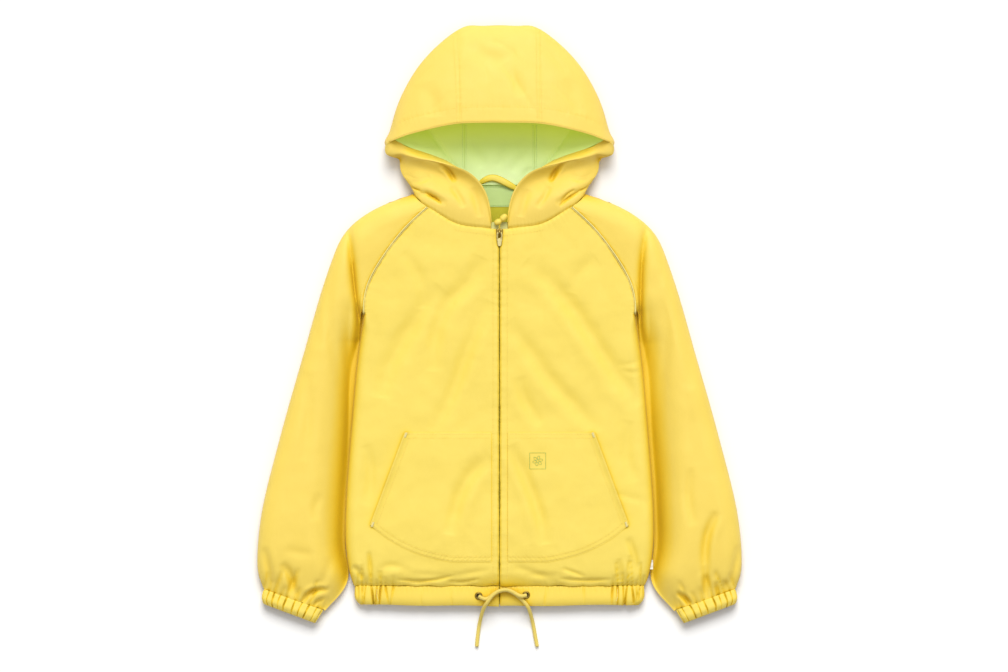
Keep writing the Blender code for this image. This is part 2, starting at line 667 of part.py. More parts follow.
# ---- hood ----
def crown_row(row, neck):
    brow_x = row.face_x + (row.fold_x - row.face_x) * BROW_SHARE
    brow_y = row.face_y + (row.fold_y - row.face_y) * BROW_SHARE
    brow_z = row.fold_z + (row.face_z - row.fold_z) * math.sqrt(1 - BROW_SHARE ** 2)
    points = [(row.face_x, row.face_y, row.face_z), (brow_x, brow_y, brow_z),
              (row.fold_x, row.fold_y, row.fold_z), (row.under_x, row.under_y, row.under_z),
              (neck.x, neck.y, neck.z)]
    line = stepped(points, CROWN_STEPS)
    line[:, 2] = np.maximum(line[:, 2], 0)
    return line


def cheek_row(row, neck):
    def between(share, z):
        return (row.face_x + (neck.x - row.face_x) * share, row.face_y + (neck.y - row.face_y) * share, z)

    points = [(row.face_x, row.face_y, row.face_z), between(DIP_SHARE, row.dip_z),
              between(BULGE_SHARE, row.bulge_z), (neck.x, neck.y, neck.z)]
    return stepped(points, CHEEK_STEPS)


def hood_rows():
    """The hood's rows from the middle of the crown round to the zip."""
    neck = NECK_BACK + NECK_SHOULDER + NECK_FRONT[:-1]
    rows = [crown_row(row, point) for row, point in zip(CROWN, neck)]
    rows += [cheek_row(row, point) for row, point in zip(CHEEK, neck[len(CROWN):])]
    return np.array(rows)


def make_hood():
    rows = hood_rows()
    side = pulled_in(rows[CROWN_SEAM:], by=CROWN_ALLOWANCE, first_row=True)
    side = pulled_in(side, last_column=True)
    both_sides("hood_side", side[::-1])
    centre = rows[:CROWN_SEAM + 1]
    centre = np.concatenate([mirrored(centre)[:0:-1], centre])
    centre = pulled_in(centre, first_row=True, last_row=True, last_column=True)
    sheet("hood_centre", centre, flip=True)


def lining_z(plan):
    """The lining lies flat up to its diagonal crease and rises beyond it."""
    start, end = (np.array(point) for point in LINING_CREASE)
    along = (end - start) / np.linalg.norm(end - start)
    offset = plan - start
    beyond = offset[..., 0] * along[1] - offset[..., 1] * along[0]
    return LINING_Z + LINING_RISE * np.maximum(beyond, 0)


def make_lining():
    y = np.array([row.inner_y for row in LINING_SIDE])
    inner = np.stack([np.full(len(y), LINING_SEAM_X + SEAM / 2), y], axis=-1)
    outer = np.array([(row.outer_x, row.outer_y) for row in LINING_SIDE])
    share = np.linspace(0, 1, LINING_COLUMNS)
    plan = inner[:, None] + (outer - inner)[:, None] * share[None, :, None]
    grid = np.concatenate([plan, lining_z(plan)[..., None]], axis=-1)
    both_sides("hood_lining", grid, wall=THIN, material="lining")
    x = np.linspace(-1, 1, 3) * (LINING_SEAM_X - SEAM / 2)
    flat = np.array([[(place, level, LINING_Z) for place in x] for level in (LINING_LOW_Y, LINING_TOP_Y)])
    sheet("hood_lining_centre", flat, wall=THIN, material="lining")


def make_facing():
    rows = []
    for row in FACING:
        line = np.array([row.line_x, row.line_y])
        start = np.array([*line, lining_z(line) + FACING_LIFT])
        end = np.array([row.edge_x, row.edge_y, row.edge_z])
        middle = (start + end) / 2 + (0, 0, FACING_CROWN)
        onwards = (end - start) / np.linalg.norm(end - start)
        rows.append([start + onwards * FACING_START, middle, end])
    both_sides("hood_facing", np.array(rows)[:, ::-1], wall=THIN)


def make_neck_inside():
    for name, place, material in (("neck_tape", NECK_TAPE, "lining"), ("neck_label", NECK_LABEL, "label")):
        across, levels = place
        flat = np.array([[(x, y, NECK_INSIDE_Z) for x in across] for y in levels])
        sheet(name, flat, wall=THIN, material=material)
    line = smooth(np.array(HANGER_LOOP), np.linspace(0, 1, HANGER_STEPS + 1))
    loop = np.stack([line - (0, HANGER_HALF, 0), line + (0, 0, HANGER_CROWN), line + (0, HANGER_HALF, 0)])
    sheet("hanger_loop", loop, wall=THIN)


# ---- pockets, piping and side label ----
def make_pockets():
    rows = []
    for row in POCKET[::-1]:
        x = POCKET_INNER_X + (row.outer_x - POCKET_INNER_X) * np.array(POCKET_COLUMNS)
        plan = np.stack([x, np.full(len(x), row.y)], axis=-1)
        rows.append(np.concatenate([plan, (front_z(plan) + LIFT + POCKET_WALL)[:, None]], axis=-1))
    both_sides("pocket", np.array(rows), wall=POCKET_WALL)


def make_piping():
    seam = raglan(FRONT_RAGLAN, FRONT_RAGLAN_STEPS)
    line = np.concatenate([seam, front_z(seam)[:, None] + PIPING_RADIUS + PIPING_LIFT], axis=-1)[1:]
    line[-1, :2] += (PIPING_NECK_GAP, -PIPING_NECK_GAP)
    tube("piping_left", line, PIPING_RADIUS, "piping", resolution=1)
    tube("piping_right", mirrored(line), PIPING_RADIUS, "piping", resolution=1)


def make_side_label():
    """A folded label caught in the side seam, lying on the front's own points."""
    columns = front_grid()[:len(BODY) - 1, list(SIDE_LABEL_COLUMNS)]
    rows = [[[np.interp(y, line[:, 1], line[:, axis]) for axis in range(3)]
             for line in columns.transpose(1, 0, 2)] for y in SIDE_LABEL_Y]
    sheet("side_label", moved_out(np.array(rows), LIFT + THIN), wall=THIN, material="label")


# ---- zip ----
def zip_line():
    """Heights of the fronts' inner face along the zip, from the hem edge to the neck."""
    levels = [(section.y, section.height - HEM_WALL) for section in HEM[::-1]]
    levels += [(section.y, section.height - WALL) for section in BODY if section.y > HEM_SEAM_Y]
    return levels + [(SLIDER_Y, HEIGHT - WALL)]


def make_zip():
    levels = zip_line()
    edge = COIL_HALF + COIL_GAP
    tape = np.array([[(x, y, z - ZIP_TAPE_DROP) for x in (edge, edge + ZIP_TAPE_WIDTH)]
                     for y, z in levels + [(ZIP_TOP_Y, HEIGHT - WALL)]])
    both_sides("zip_tape", tape, wall=THIN, material="tape")
    coil = np.array([[(x, y, z + COIL_GAP) for x in (-COIL_HALF, COIL_HALF)] for y, z in levels])
    sheet("zip_coil", coil, wall=COIL_WALL, material="brass")


def block(name, low, high, bevel, material):
    """A box between two corners, its edges rounded."""
    mesh = bpy.data.meshes.new(name)
    shape = bmesh.new()
    bmesh.ops.create_cube(shape, size=1.0)
    low, high = (np.array(corner) * MM for corner in (low, high))
    for vertex in shape.verts:
        vertex.co = (low + high) / 2 + np.array(vertex.co) * (high - low)
    shape.to_mesh(mesh)
    shape.free()
    item = add_object(name, mesh, material)
    edge = item.modifiers.new("edge", "BEVEL")
    edge.width = bevel * MM
    edge.segments = 2
    return item


def make_helper(item):
    """Moves a cutter or a joined shape to the helpers' collection, out of the renders."""
    for collection in list(item.users_collection):
        collection.objects.unlink(item)
    CUTTERS.objects.link(item)
    item.hide_render = True
    item.display_type = "WIRE"


def make_slider():
    """The slider's plate with a bridge on it, holed for the pull's bar."""
    half_x, half_y = SLIDER_HALF
    plate = block("zip_slider", (-half_x, SLIDER_Y - half_y, SLIDER_Z),
                  (half_x, SLIDER_Y + half_y, SLIDER_Z + SLIDER_PLATE), SLIDER_BEVEL, "brass")
    low = (-BRIDGE_HALF_WIDTH, SLIDER_Y + BRIDGE_FROM[0], SLIDER_Z + BRIDGE_FROM[1])
    high = (BRIDGE_HALF_WIDTH, SLIDER_Y + BRIDGE_TO[0], SLIDER_Z + BRIDGE_TO[1])
    bridge = block("bridge", low, high, BRIDGE_BEVEL, "brass")
    hole = bpy.data.meshes.new("bridge_hole")
    shape = bmesh.new()
    radius = PULL_HOLE_RADIUS * MM
    bmesh.ops.create_cone(shape, cap_ends=True, segments=16, radius1=radius, radius2=radius,
                          depth=4 * BRIDGE_HALF_WIDTH * MM)
    shape.to_mesh(hole)
    shape.free()
    cutter = bpy.data.objects.new("bridge_hole", hole)
    cutter.rotation_euler = (0, math.pi / 2, 0)
    cutter.location = np.array(PULL_AXIS) * MM
    make_helper(bridge)
    make_helper(cutter)
    for operation, other in (("UNION", bridge), ("DIFFERENCE", cutter)):
        step = plate.modifiers.new(operation.lower(), "BOOLEAN")
        step.operation = operation
        step.object = other
        step.solver = "EXACT"


def make_pull():
    """A tapered tab with a window; the bar above the window turns in the slider's bridge."""
    data = bpy.data.curves.new("zip_pull", "CURVE")
    data.dimensions = "2D"
    data.fill_mode = "BOTH"
    data.extrude = PULL_HALF_THICK * MM
    for line in (PULL_OUTLINE, PULL_WINDOW):
        spline = data.splines.new("POLY")
        spline.points.add(len(line) - 1)
        for point, (x, y) in zip(spline.points, line):
            point.co = (x * MM, y * MM, 0, 1)
        spline.use_cyclic_u = True
    item = add_object("zip_pull", data, "brass")
    item.location = np.array(PULL_AXIS) * MM
    item.rotation_euler = (PULL_TILT, 0, 0)


def make_chin_guard():
    """The rolled end of the inner placket above the zip."""
    line = smooth(np.array(CHIN_GUARD), np.linspace(0, 1, CHIN_GUARD_STEPS + 1))
    tube("chin_guard", line, CHIN_GUARD_RADIUS, "shell")


# ---- drawcords and eyelets ----
def make_eyelet(name, place):
    bpy.ops.mesh.primitive_torus_add(
        major_radius=EYELET_RING * MM, minor_radius=EYELET_WIRE * MM, major_segments=20, minor_segments=6,
        location=(place[0] * MM, place[1] * MM, (HEM_HEIGHT + LIFT + EYELET_WIRE) * MM))
    item = bpy.context.object
    item.name = name
    for collection in list(item.users_collection):
        collection.objects.unlink(item)
    COLLECTION.objects.link(item)
    item.data.shade_smooth()
    item.data.materials.append(MATERIALS["brass"])


def make_drawcords():
    for name, route in (("drawcord_right", CORD_FROM_RIGHT), ("drawcord_left", CORD_FROM_LEFT)):
        tube(name, smooth(np.array(route), np.linspace(0, 1, CORD_STEPS + 1)), CORD_RADIUS, "cord")
    make_eyelet("eyelet_left", EYELET_LEFT)
    make_eyelet("eyelet_right", EYELET_RIGHT)


COLLECTION = clear_scene()
CUTTERS = bpy.data.collections.new("cutters")
bpy.context.scene.collection.children.link(CUTTERS)
MATERIALS = make_materials()

make_fronts()
make_back()
make_sleeves()
make_cuffs()
make_hem()
make_hood()
make_lining()
make_facing()
make_neck_inside()
make_pockets()
make_piping()
make_side_label()
make_zip()
make_slider()
make_pull()
make_chin_guard()
make_drawcords()
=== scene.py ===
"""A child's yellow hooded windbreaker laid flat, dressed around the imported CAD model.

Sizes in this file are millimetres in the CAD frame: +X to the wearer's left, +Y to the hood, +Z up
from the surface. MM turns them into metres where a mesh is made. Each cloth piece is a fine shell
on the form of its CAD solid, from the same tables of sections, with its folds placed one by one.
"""

import math
from collections import namedtuple

import bpy
import numpy as np
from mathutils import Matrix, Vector, noise


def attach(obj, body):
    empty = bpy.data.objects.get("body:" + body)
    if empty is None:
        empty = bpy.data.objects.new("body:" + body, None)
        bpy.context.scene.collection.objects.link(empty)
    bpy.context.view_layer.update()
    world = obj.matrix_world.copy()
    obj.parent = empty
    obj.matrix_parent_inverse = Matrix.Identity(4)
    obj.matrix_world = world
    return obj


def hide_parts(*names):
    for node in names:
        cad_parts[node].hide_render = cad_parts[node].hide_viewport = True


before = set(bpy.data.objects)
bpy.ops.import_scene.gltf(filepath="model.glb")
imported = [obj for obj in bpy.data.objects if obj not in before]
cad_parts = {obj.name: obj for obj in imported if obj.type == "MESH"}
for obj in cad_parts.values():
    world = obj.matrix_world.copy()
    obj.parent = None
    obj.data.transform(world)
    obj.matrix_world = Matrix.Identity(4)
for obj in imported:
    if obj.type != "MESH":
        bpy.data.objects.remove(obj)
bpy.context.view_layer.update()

MM = 0.001
JACKET = "jacket"
PULL = "pull"

# ---- driving sizes, as in the CAD or within a few millimetres of it ----
WALL = 1.2
THIN = 0.7
HEM_WALL = 2.0
STRIP = 1.5
LOWEST = 3.0               # lowest outer face of the sleeves' upper half
EDGE = 0.15                # how close to a cut edge a piece's last row of points stands
SIDE_REACH = 14.0
HEIGHT = 30.0
LIFT = 0.5
SEAM_DIP = 1.0             # how far panels round down into a seam
SEAM_DIP_WIDTH = 2.2
RAGLAN_DIP = 0.6           # share of that at the piped seams
PUCKER = 0.22              # ripples beside stitched seams
HEM_SEAM_Y = -325.0
ARMPIT = (169.5, 12.0)
ARMPIT_TIGHT = 0.72        # how much tighter the fronts' sides turn by the armpit
ARMPIT_REACH = 18.0
ZIP_EDGE = 0.55            # folded front edge beside the zip
ZIP_WAVER = 0.4            # how far that edge wanders
ZIP_ROLL = 1.5             # how far the fronts round down to the zip
ZIP_ROLL_WIDTH = 1.3
PLACKET_RISE = 0.35
PLACKET_MIDDLE = 4.0       # from the folded edge
PLACKET_WIDTH = 3.2
PLACKET_ROWS = {1: 9.7, -1: 8.1}  # from the middle to the stitched row beside the zip


def rows_of(kind, *rows):
    """A table of named rows."""
    return [kind(*row) for row in rows]


Body = namedtuple("Body", "y half_width height")
BODY = rows_of(Body,
    (HEM_SEAM_Y, 181.3, 17.4), (-318, 184.5, 21.5), (-300, 189, 25.5),
    (-275, 192, 27), (-235, 192.3, 27.5), (-180, 189, 28),
    (-118, 184, 28.5), (-60, 179, 29.2), (12, 169.5, HEIGHT)
)
FRONT_RAGLAN = [(169.5, 12), (169, 29), (164, 51), (157, 66), (144, 87), (117, 121.5), (90, 147)]
BACK_RAGLAN = [(169.5, 12), (167.5, 32), (157, 63), (130, 106), (86, 164.5)]
RAGLAN_CROWDING = 0.9
FRONT_RAGLAN_STEPS = 9
BACK_RAGLAN_STEPS = 6

# The neck seam, half of it, from the middle of the back round the shoulder to the zip.
NECK_BACK = [(0, 163.5, 0), (22.5, 163.6, 0), (45, 163.8, 0), (62, 164, 0),
             (76, 164.3, 0), (86, 164.5, 0)]
NECK_SHOULDER = [(94, 164.8, 1.5), (101, 164.6, 6), (106, 162.6, 15), (104, 158.6, 23),
                 (98.5, 153, 28)]
NECK_FRONT = [(90, 147, 30), (76, 138.6, 30), (63, 130.5, 30), (50, 125, 30),
              (36, 122.5, 30), (22, 121, 30), (10.5, 119.4, 30), (ZIP_EDGE, 118.5, 30)]

Sleeve = namedtuple("Sleeve", "inner_x inner_y outer_x outer_y height")
SLEEVE = rows_of(Sleeve,
    (169.5, 12, 106, 162.6, 30), (173, -8, 150, 146.5, 31),
    (177.2, -30, 189.5, 118, 32.5), (180.6, -60, 208, 83, 33.5),
    (184.2, -100, 222.5, 40, 34), (188.6, -150, 243, -32, 34),
    (192, -200, 262, -98, 34), (194.2, -250, 282, -172, 34),
    (193.2, -288, 297, -237, 33), (190.8, -316, 302, -285, 30),
    (201, -337, 300.5, -313, 25), (219.5, -356, 294, -329.6, 19)
)
SLEEVE_REACH = 24.0
SEAM_BEND_FADE = 2.2
TUCK = 1.8                 # the sleeve's edge lies against the body
# The valley beside the body, down each sleeve: y, its middle's distance from the body's edge, how far it
# sinks as a share of half the sleeve's height, and its width.
Valley = namedtuple("Valley", "y middle sunk width")
VALLEYS = {
    -1: rows_of(Valley, (140, 0, 0.1, 24), (92, 0, 0.2, 24), (56, 1, 0.45, 26),
        (-7, 1, 0.7, 28), (-40, 3, 0.45, 30), (-69, 6, 0.4, 34),
        (-132, 3, 0.6, 40), (-194, 1.5, 0.65, 46), (-257, 2.5, 0.65, 44),
        (-307, 1, 0.7, 40), (-345, 0, 0.3, 30)),
    1: rows_of(Valley, (140, 0, 0.1, 24), (92, 0, 0.2, 24), (56, 1, 0.45, 24),
        (-7, 2, 0.6, 28), (-69, 6, 0.3, 42), (-132, 4, 0.5, 44),
        (-194, 4, 0.6, 42), (-257, 4, 0.7, 38), (-307, 3, 0.6, 36),
        (-345, 0, 0.3, 30)),
}
VALLEY_STEEP = 2.2
VALLEY_ROUND = 3.0
VALLEY_TOP = 40.0          # beyond VALLEY_EDGE of the body the valley starts at this height
VALLEY_RUN = 62.0          # and is full this much lower
VALLEY_EDGE = 4.5
VALLEY_NEAREST = 0.01      # least distance of its middle from the body

Cuff = namedtuple("Cuff", "inner_x inner_y outer_x outer_y height")
CUFF = rows_of(Cuff,
    (219.6, -356.4, 294.1, -330, 18.4), (223.5, -362, 295.8, -336.5, 18.5),
    (227.5, -368.5, 296.4, -343.5, 18.5), (230, -373, 294.8, -348.8, 15)
)
CUFF_ROUNDNESS = 0.45
# Gathers round a cuff, as shares of the way round from its inner edge over the front.
Gather = namedtuple("Gather", "at width depth reach")
CUFF_GATHERS = rows_of(Gather,
    (0.035, 0.0054, 3.3, 15), (0.075, 0.0045, 2.4, 10), (0.135, 0.0063, 4.5, 28),
    (0.185, 0.0045, 2.7, 13), (0.235, 0.0054, 3.6, 15), (0.300, 0.0063, 4.8, 33),
    (0.345, 0.0045, 2.2, 11), (0.390, 0.0063, 4.2, 26), (0.430, 0.0045, 3, 13),
    (0.470, 0.0054, 3.6, 18), (0.530, 0.0054, 2.4, 15), (0.585, 0.0063, 2.7, 23),
    (0.640, 0.0054, 2.2, 13), (0.700, 0.0063, 2.8, 28), (0.755, 0.0045, 2.1, 11),
    (0.815, 0.0063, 2.7, 20), (0.870, 0.0054, 2.2, 15), (0.930, 0.0054, 2.7, 18)
)

Hem = namedtuple("Hem", "y half_width height")
HEM = rows_of(Hem, (HEM_SEAM_Y - 0.4, 180.5, 16.1), (-334, 181, 16.2), (-344, 179.3, 16), (-349.8, 174, 14.4))
HEM_REACH = 11.0
HEM_PUFF = 0.7
HEM_SAG = 1.8              # how much lower its edge hangs in the middle
HEM_TACKS = {1: 141.3, -1: -146.9}
# Gathers of the hem's elastic: x along the hem, width, depth and how far up the body each one reaches.
HemGather = namedtuple("HemGather", "x width depth reach")
HEM_GATHERS = rows_of(HemGather,
    (-177, 1.6, 2.6, 18), (-172, 1.3, 3.5, 28), (-166.5, 1.2, 2.2, 11),
    (-160, 1.5, 4.2, 44), (-153.5, 1.3, 2.4, 10), (-148, 1.5, 3.5, 20),
    (-142, 1.4, 1.9, 13), (-133, 2, 1.9, 15), (-98, 2.4, 0.8, 9),
    (-61, 2.2, 0.6, 7), (58, 2.4, 0.8, 9), (104, 2.2, 0.6, 7),
    (141.5, 1.5, 2.4, 15), (147.5, 1.3, 3.5, 31), (153.5, 1.4, 3.2, 18),
    (159.5, 1.3, 3.8, 33), (165.5, 1.4, 3.2, 39), (171, 1.2, 2.6, 13),
    (175.5, 1.3, 3.2, 31), (179, 1.2, 2.6, 15)
)

# Hood: each row runs from the face edge over the side fold and along the back to the neck seam.
Crown = namedtuple("Crown", "face_x face_y face_z fold_x fold_y fold_z under_x under_y under_z")
CROWN = rows_of(Crown,
    (0, 250.6, 57, 0, 373, 18, 0, 342, 0),
    (25, 250.4, 56.8, 25, 372.3, 18, 25, 341, 0),
    (50, 249.4, 56, 49.5, 368.5, 18, 47, 338, 0),
    (75, 245.4, 53.5, 88, 337, 18, 76, 312, 0),
    (97, 240.3, 49.5, 113.5, 302, 17, 93, 284, 0),
    (115, 235.5, 44.5, 129, 268, 16.5, 104, 254, 0),
    (130, 230.3, 38, 138, 238, 16, 113, 225, 0),
    (140.5, 224.5, 27, 141.8, 223.5, 11, 118, 205, 0.5),
    (138.5, 215, 24.5, 121.5, 205, 9, 112, 184, 9)
)
CROWN_SEAM = 2
CROWN_STEP_WIDTH = 25.0    # between two rows of the table by the seam
BROW_SHARE = 0.58
BROW_RISE = 0.68            # share of the visor's height that the crown has reached there
Cheek = namedtuple("Cheek", "face_x face_y face_z dip_z bulge_z")
CHEEK = rows_of(Cheek,
    (127, 211, 26, 16, 17), (116, 209.5, 29.5, 22, 24),
    (101, 206, 33.5, 26, 29), (83, 202, 35.5, 27, 31),
    (64, 197.6, 36.5, 27, 31.8), (45, 192, 36.5, 28.5, 32.2),
    (29, 181, 36, 31, 32.4), (16, 160, 35, 32.8, 32.2),
    (11, 128, 33.5, 32.5, 31.6)
)
DIP_SHARE = 0.17
BULGE_SHARE = 0.52
VISOR_HEM = 20.0           # width of the hem round the hood's face edge

LINING_Z = 2.9
LINING_TOP_Y = 285.0
LINING_LOW_Y = 174.6
LINING_SEAM_X = 44.0
LINING_ROWS = (-46.4, -41.8, 41.8, 46.4)
LINING_CREASE = ((58, 201), (90, 243))
LINING_RISE = 0.62
# Side lining: inner_y, outer_x, outer_y.
LINING_SIDE = [(174.6, 84, 176), (184, 92, 189), (193, 74, 200), (203, 86, 211.5),
               (214, 104, 217.9), (226, 121, 225.2), (238, 132.5, 233.6), (254, 122, 252),
               (285, 90, 285)]
# The line on the lining where the facing ends, in plan.
FACING = [(134.8, 234), (129, 231), (121.8, 225), (104, 217.4), (84, 211), (67, 204.4)]
FACING_ROWS = (6.6, 13.6)  # the rows of the hood's tables where it starts and ends
FACE_CORNER = 8.2          # the row of those tables at the corner of the face opening
FACE_STRIP = 9             # columns of the hood's inside that its edge covers in shell cloth
# Pieces of tape: the limits of x, then of y.
NECK_TAPE = (-60, 60, 147, 174)
NECK_LABEL = (-15, 19, 128, 146.5)
NECK_INSIDE_Z = 3.1
SIDE_LABEL = (184.0, 191.6, -305.5, -294.0)
HANGER_LOOP = [(-25, 176.5, 4.6), (-20, 179.5, 6.8), (-10, 183, 8.4), (4, 178.8, 8), (14, 173.5, 6.5),
               (23, 168.5, 4.6)]
HANGER_SECTION = (4.4, 1.5, 16)  # half width, half height and points round it

# Pocket outline in plan: y, outer_x.
POCKET = [(-134.5, 118.3), (-180, 135.3), (-235, 155.8), (-249.5, 161.3), (-262, 147),
          (-275, 127), (-288, 97), (-296.5, 60)]
POCKET_INNER_X = 10.5
POCKET_TOP_Y = -134.5
POCKET_CORNER_Y = -249.5
POCKET_WALL = 0.9
POCKET_STEP = 0.38         # share of its thickness that shows as a step along its sewn edges
POCKET_ROWS_MIDDLE = 5.0   # from its edges, between the two rows of stitches
POCKET_ROWS = (2.0, 7.0)
MOUTH_ROWS = (2.2, 8.0)

PIPING_RADIUS = 0.75
FLANGE_RADIUS = 0.45
FLANGE_INWARDS = -1.75     # from the piping towards the zip

SLIDER_Y = 114.8
SLIDER_Z = HEIGHT + 0.4
ZIP_TOP_Y = 127.5
SLIDER_OUTLINE = [(-4.2, 4.3), (4.2, 4.3), (4.2, -0.5), (2.6, -4.5), (-2.6, -4.5), (-4.2, -0.5)]
BRIDGE = [(0, 3.0, 1.6), (0, 2.4, 4.4), (0, 0.2, 5.6), (0, -2.4, 5.2), (0, -3.6, 1.8)]
BRIDGE_SECTION = (1.1, 0.55, 12)  # half width, half height and points round it
PULL_AXIS = (0, 113.6, 34.6)
PULL_HALF_THICK = 0.6
PULL_TILT = math.radians(12)
# The pull's outline and window, from its axis; the bar between their tops turns in the bridge.
PULL_OUTLINE = [(-3.7, 0.65), (3.7, 0.65), (3.7, -6.5), (2.3, -16), (-2.3, -16), (-3.7, -6.5)]
PULL_WINDOW = [(-1.75, -0.65), (-1.75, -6.2), (1.75, -6.2), (1.75, -0.65)]
INLAY_OUTLINE = [(-2.5, -7.6), (2.5, -7.6), (1.3, -16.2), (-1.3, -16.2)]
EYELET_LEFT = (33.3, -337.4)
EYELET_RIGHT = (-26.1, -338.6)
# Radius and height round an eyelet's rolled ring.
EYELET_PROFILE = [(2.6, -0.8), (2.6, 0.5), (3.0, 1.0), (3.7, 1.15), (4.4, 0.85), (4.8, 0.2), (4.7, -0.3)]
EYELET_AROUND = 40
ZIP_TAPE_WIDTH = 12.0
TOOTH_PITCH = 1.7
TOOTH_OFFSET = 0.35        # from the middle, to either side in turn
TOOTH_HALF = (1.0, 0.62, 0.75)
CHIN_GUARD = [(-6.4, 125.6, 31.8), (0.6, 129, 33), (8.8, 137, 34.8)]
CHIN_GUARD_RADIUS = 4.2

CORD_RADIUS = 2.4
CORD_FROM_RIGHT = [
    (-26.1, -338.6, 21.0), (-17.4, -342.4, 19.8), (-9.0, -338.0, 19.2), (0.2, -332.6, 19.2),
    (9.0, -331.6, 19.2), (20.1, -336.6, 19.2), (28.6, -344.0, 19.0), (34.6, -351.0, 17.4),
    (38.6, -361.0, 10.8), (41.8, -374.0, 3.6), (44.4, -388.0, 2.4), (47.2, -403.0, 2.4),
]
CORD_FROM_LEFT = [
    (33.3, -337.4, 21.4), (27.0, -338.6, 24.2), (18.5, -334.6, 24.6), (9.5, -331.0, 24.6),
    (0.2, -332.0, 24.6), (-8.4, -337.4, 24.8), (-14.6, -345.4, 24.4), (-19.4, -353.6, 18.6),
    (-22.8, -364.0, 10.6), (-25.4, -376.0, 3.8), (-27.2, -389.0, 2.4), (-28.5, -403.0, 2.4),
]

SIDES = (("left", 1), ("right", -1))

# ---- how fine the meshes are ----
SLEEVE_ROWS = 190
CUFF_ROWS = 24
CUFF_COLUMNS = 400
HEM_ROWS = 16
HEM_COLUMNS = 300
HOOD_STEPS = 12            # rows between two rows of the hood's tables
CROWN_FINE = (28, 24, 12, 24)
CHEEK_FINE = (28, 30, 30)
CORD_RINGS = 260
CORD_AROUND = 24
CORD_PLAIT = 3.4           # length of one crossing of the plait
CORD_RELIEF = 0.42         # how far its strands stand out

# ---- how folds and unevenness shape the cloth ----
DRAPES = ((46, 0.75), (19, 0.3), (8, 0.1))  # size across and height of its small unevenness
FOLD_POINTS = 14           # points at which a fold's line is read
FOLD_REACH = 5             # widths of a fold beyond which it does nothing
FOLD_TAPER = 0.55          # how bluntly it ends
RIDGE_PLACE = 1.7          # widths from a leaning fold's line to the ridge beside it
RIDGE_WIDTH = 0.9
RIDGE_SHARE = 0.6          # the ridge's height as a share of the fold's depth
FOLDS_AT_SIDE = 0.35       # share of the front folds' depth that is left at the side edges

# ---- folds, placed one by one ----
# A fold is a soft trough along a smooth line, or a ridge where depth is below 0. lean raises the
# cloth beside it: on the left of its direction above 0, on the right below 0.
Fold = namedtuple("Fold", "width depth lean points")
FRONT_FOLDS = rows_of(Fold,
    (10, 3, 0.5, [(-22, 84), (-38, 54), (-62, 30), (-79, -6), (-82, -58)]),
    (9, 2.6, 0.5, [(-14, 30), (-30, -6), (-43, -39), (-57, -78), (-84, -134)]),
    (12, 3.4, 0.4, [(-72, 46), (-109, 0), (-137, -53), (-146, -92)]),
    (11, 3.8, -0.5, [(34, 80), (83, 32), (124, -28), (154, -72), (175, -101)]),
    (10, 2.8, -0.5, [(12, 4), (36, -28), (58, -61), (91, -97), (122, -134)]),
    (8, 2.2, -0.5, [(24, -66), (34, -97), (52, -124)]),
    (9, 3, 0.6, [(-11, -164), (-35, -185), (-52, -218), (-63, -262)]),
    (8, 3.2, -0.6, [(15, -150), (34, -193), (50, -237), (56, -274)]),
    (3.5, 0.7, 0.3, [(178, -44), (164, -49), (146, -50)]),
    (3, 0.8, -0.3, [(178, -58), (166, -60), (152, -56)]),
    (4.5, 0.6, 0.3, [(188, -224), (168, -217), (140, -210)]),
    (7, 2, 0, [(-166, -150), (-160, -190), (-166, -225)]),
    (8, 2, 0.3, [(160, -120), (158, -160), (168, -196)]),
    (8, 1.6, 0, [(-120, 90), (-100, 60), (-96, 20)]),
    (9, 1.8, 0, [(120, 84), (104, 70), (90, 40)]),
    # above the hem
    (2, 2.4, 0, [(-128, -318), (-104, -320), (-78, -318), (-56, -313)]),
    (2, 1.8, 0, [(-66, -320), (-46, -321), (-24, -317)]),
    (5, 1.4, 0, [(-152, -318), (-145, -303), (-132, -301), (-112, -309)]),
    (4, 1, 0, [(-112, -310), (-88, -312), (-60, -314)]),
    (4, 1.4, 0, [(-60, -314), (-38, -310), (-12, -306)]),
    (4.5, 1.6, 0, [(18, -302), (44, -310), (72, -321)]),
    (2.6, 1.8, 0, [(78, -304), (92, -309), (107, -315)]),
    (2.2, 2.2, 0, [(74, -317), (104, -319), (140, -318)]),
    (4, 1, 0, [(30, -314), (56, -312), (82, -314)]),
    (4, 2.88, 0.4, [(-184, -302), (-178, -306), (-171, -318)]),
    (4, 2.56, -0.3, [(160, -266), (168, -288), (172, -316)]),
    (4, 2.24, 0.3, [(148, -292), (151, -306), (150, -321)]),
    (5, -0.8, 0, [(163, -322), (158, -306), (150, -296)]),
    (6, -0.8, 0, [(-138, -320), (-128, -308), (-116, -304)])
)
BACK_FOLDS = rows_of(Fold,
    (12, 1.4, 0, [(-120, 60), (-90, 0), (-70, -70)]), (10, 1.1, 0, [(-40, 90), (-30, 20), (-52, -60)]),
    (13, 1.5, 0, [(118, 70), (96, 10), (60, -60)]), (9, 1, 0, [(30, 20), (44, -50), (30, -120)]),
    (11, 1.2, 0, [(-90, -150), (-60, -210), (-72, -270)]), (10, 1, 0, [(70, -160), (86, -220), (64, -290)]),
    (5, 1.6, 0, [(-150, -300), (-146, -270), (-152, -240)]),
    (5, 1.5, 0, [(152, -302), (146, -276), (150, -250)])
)
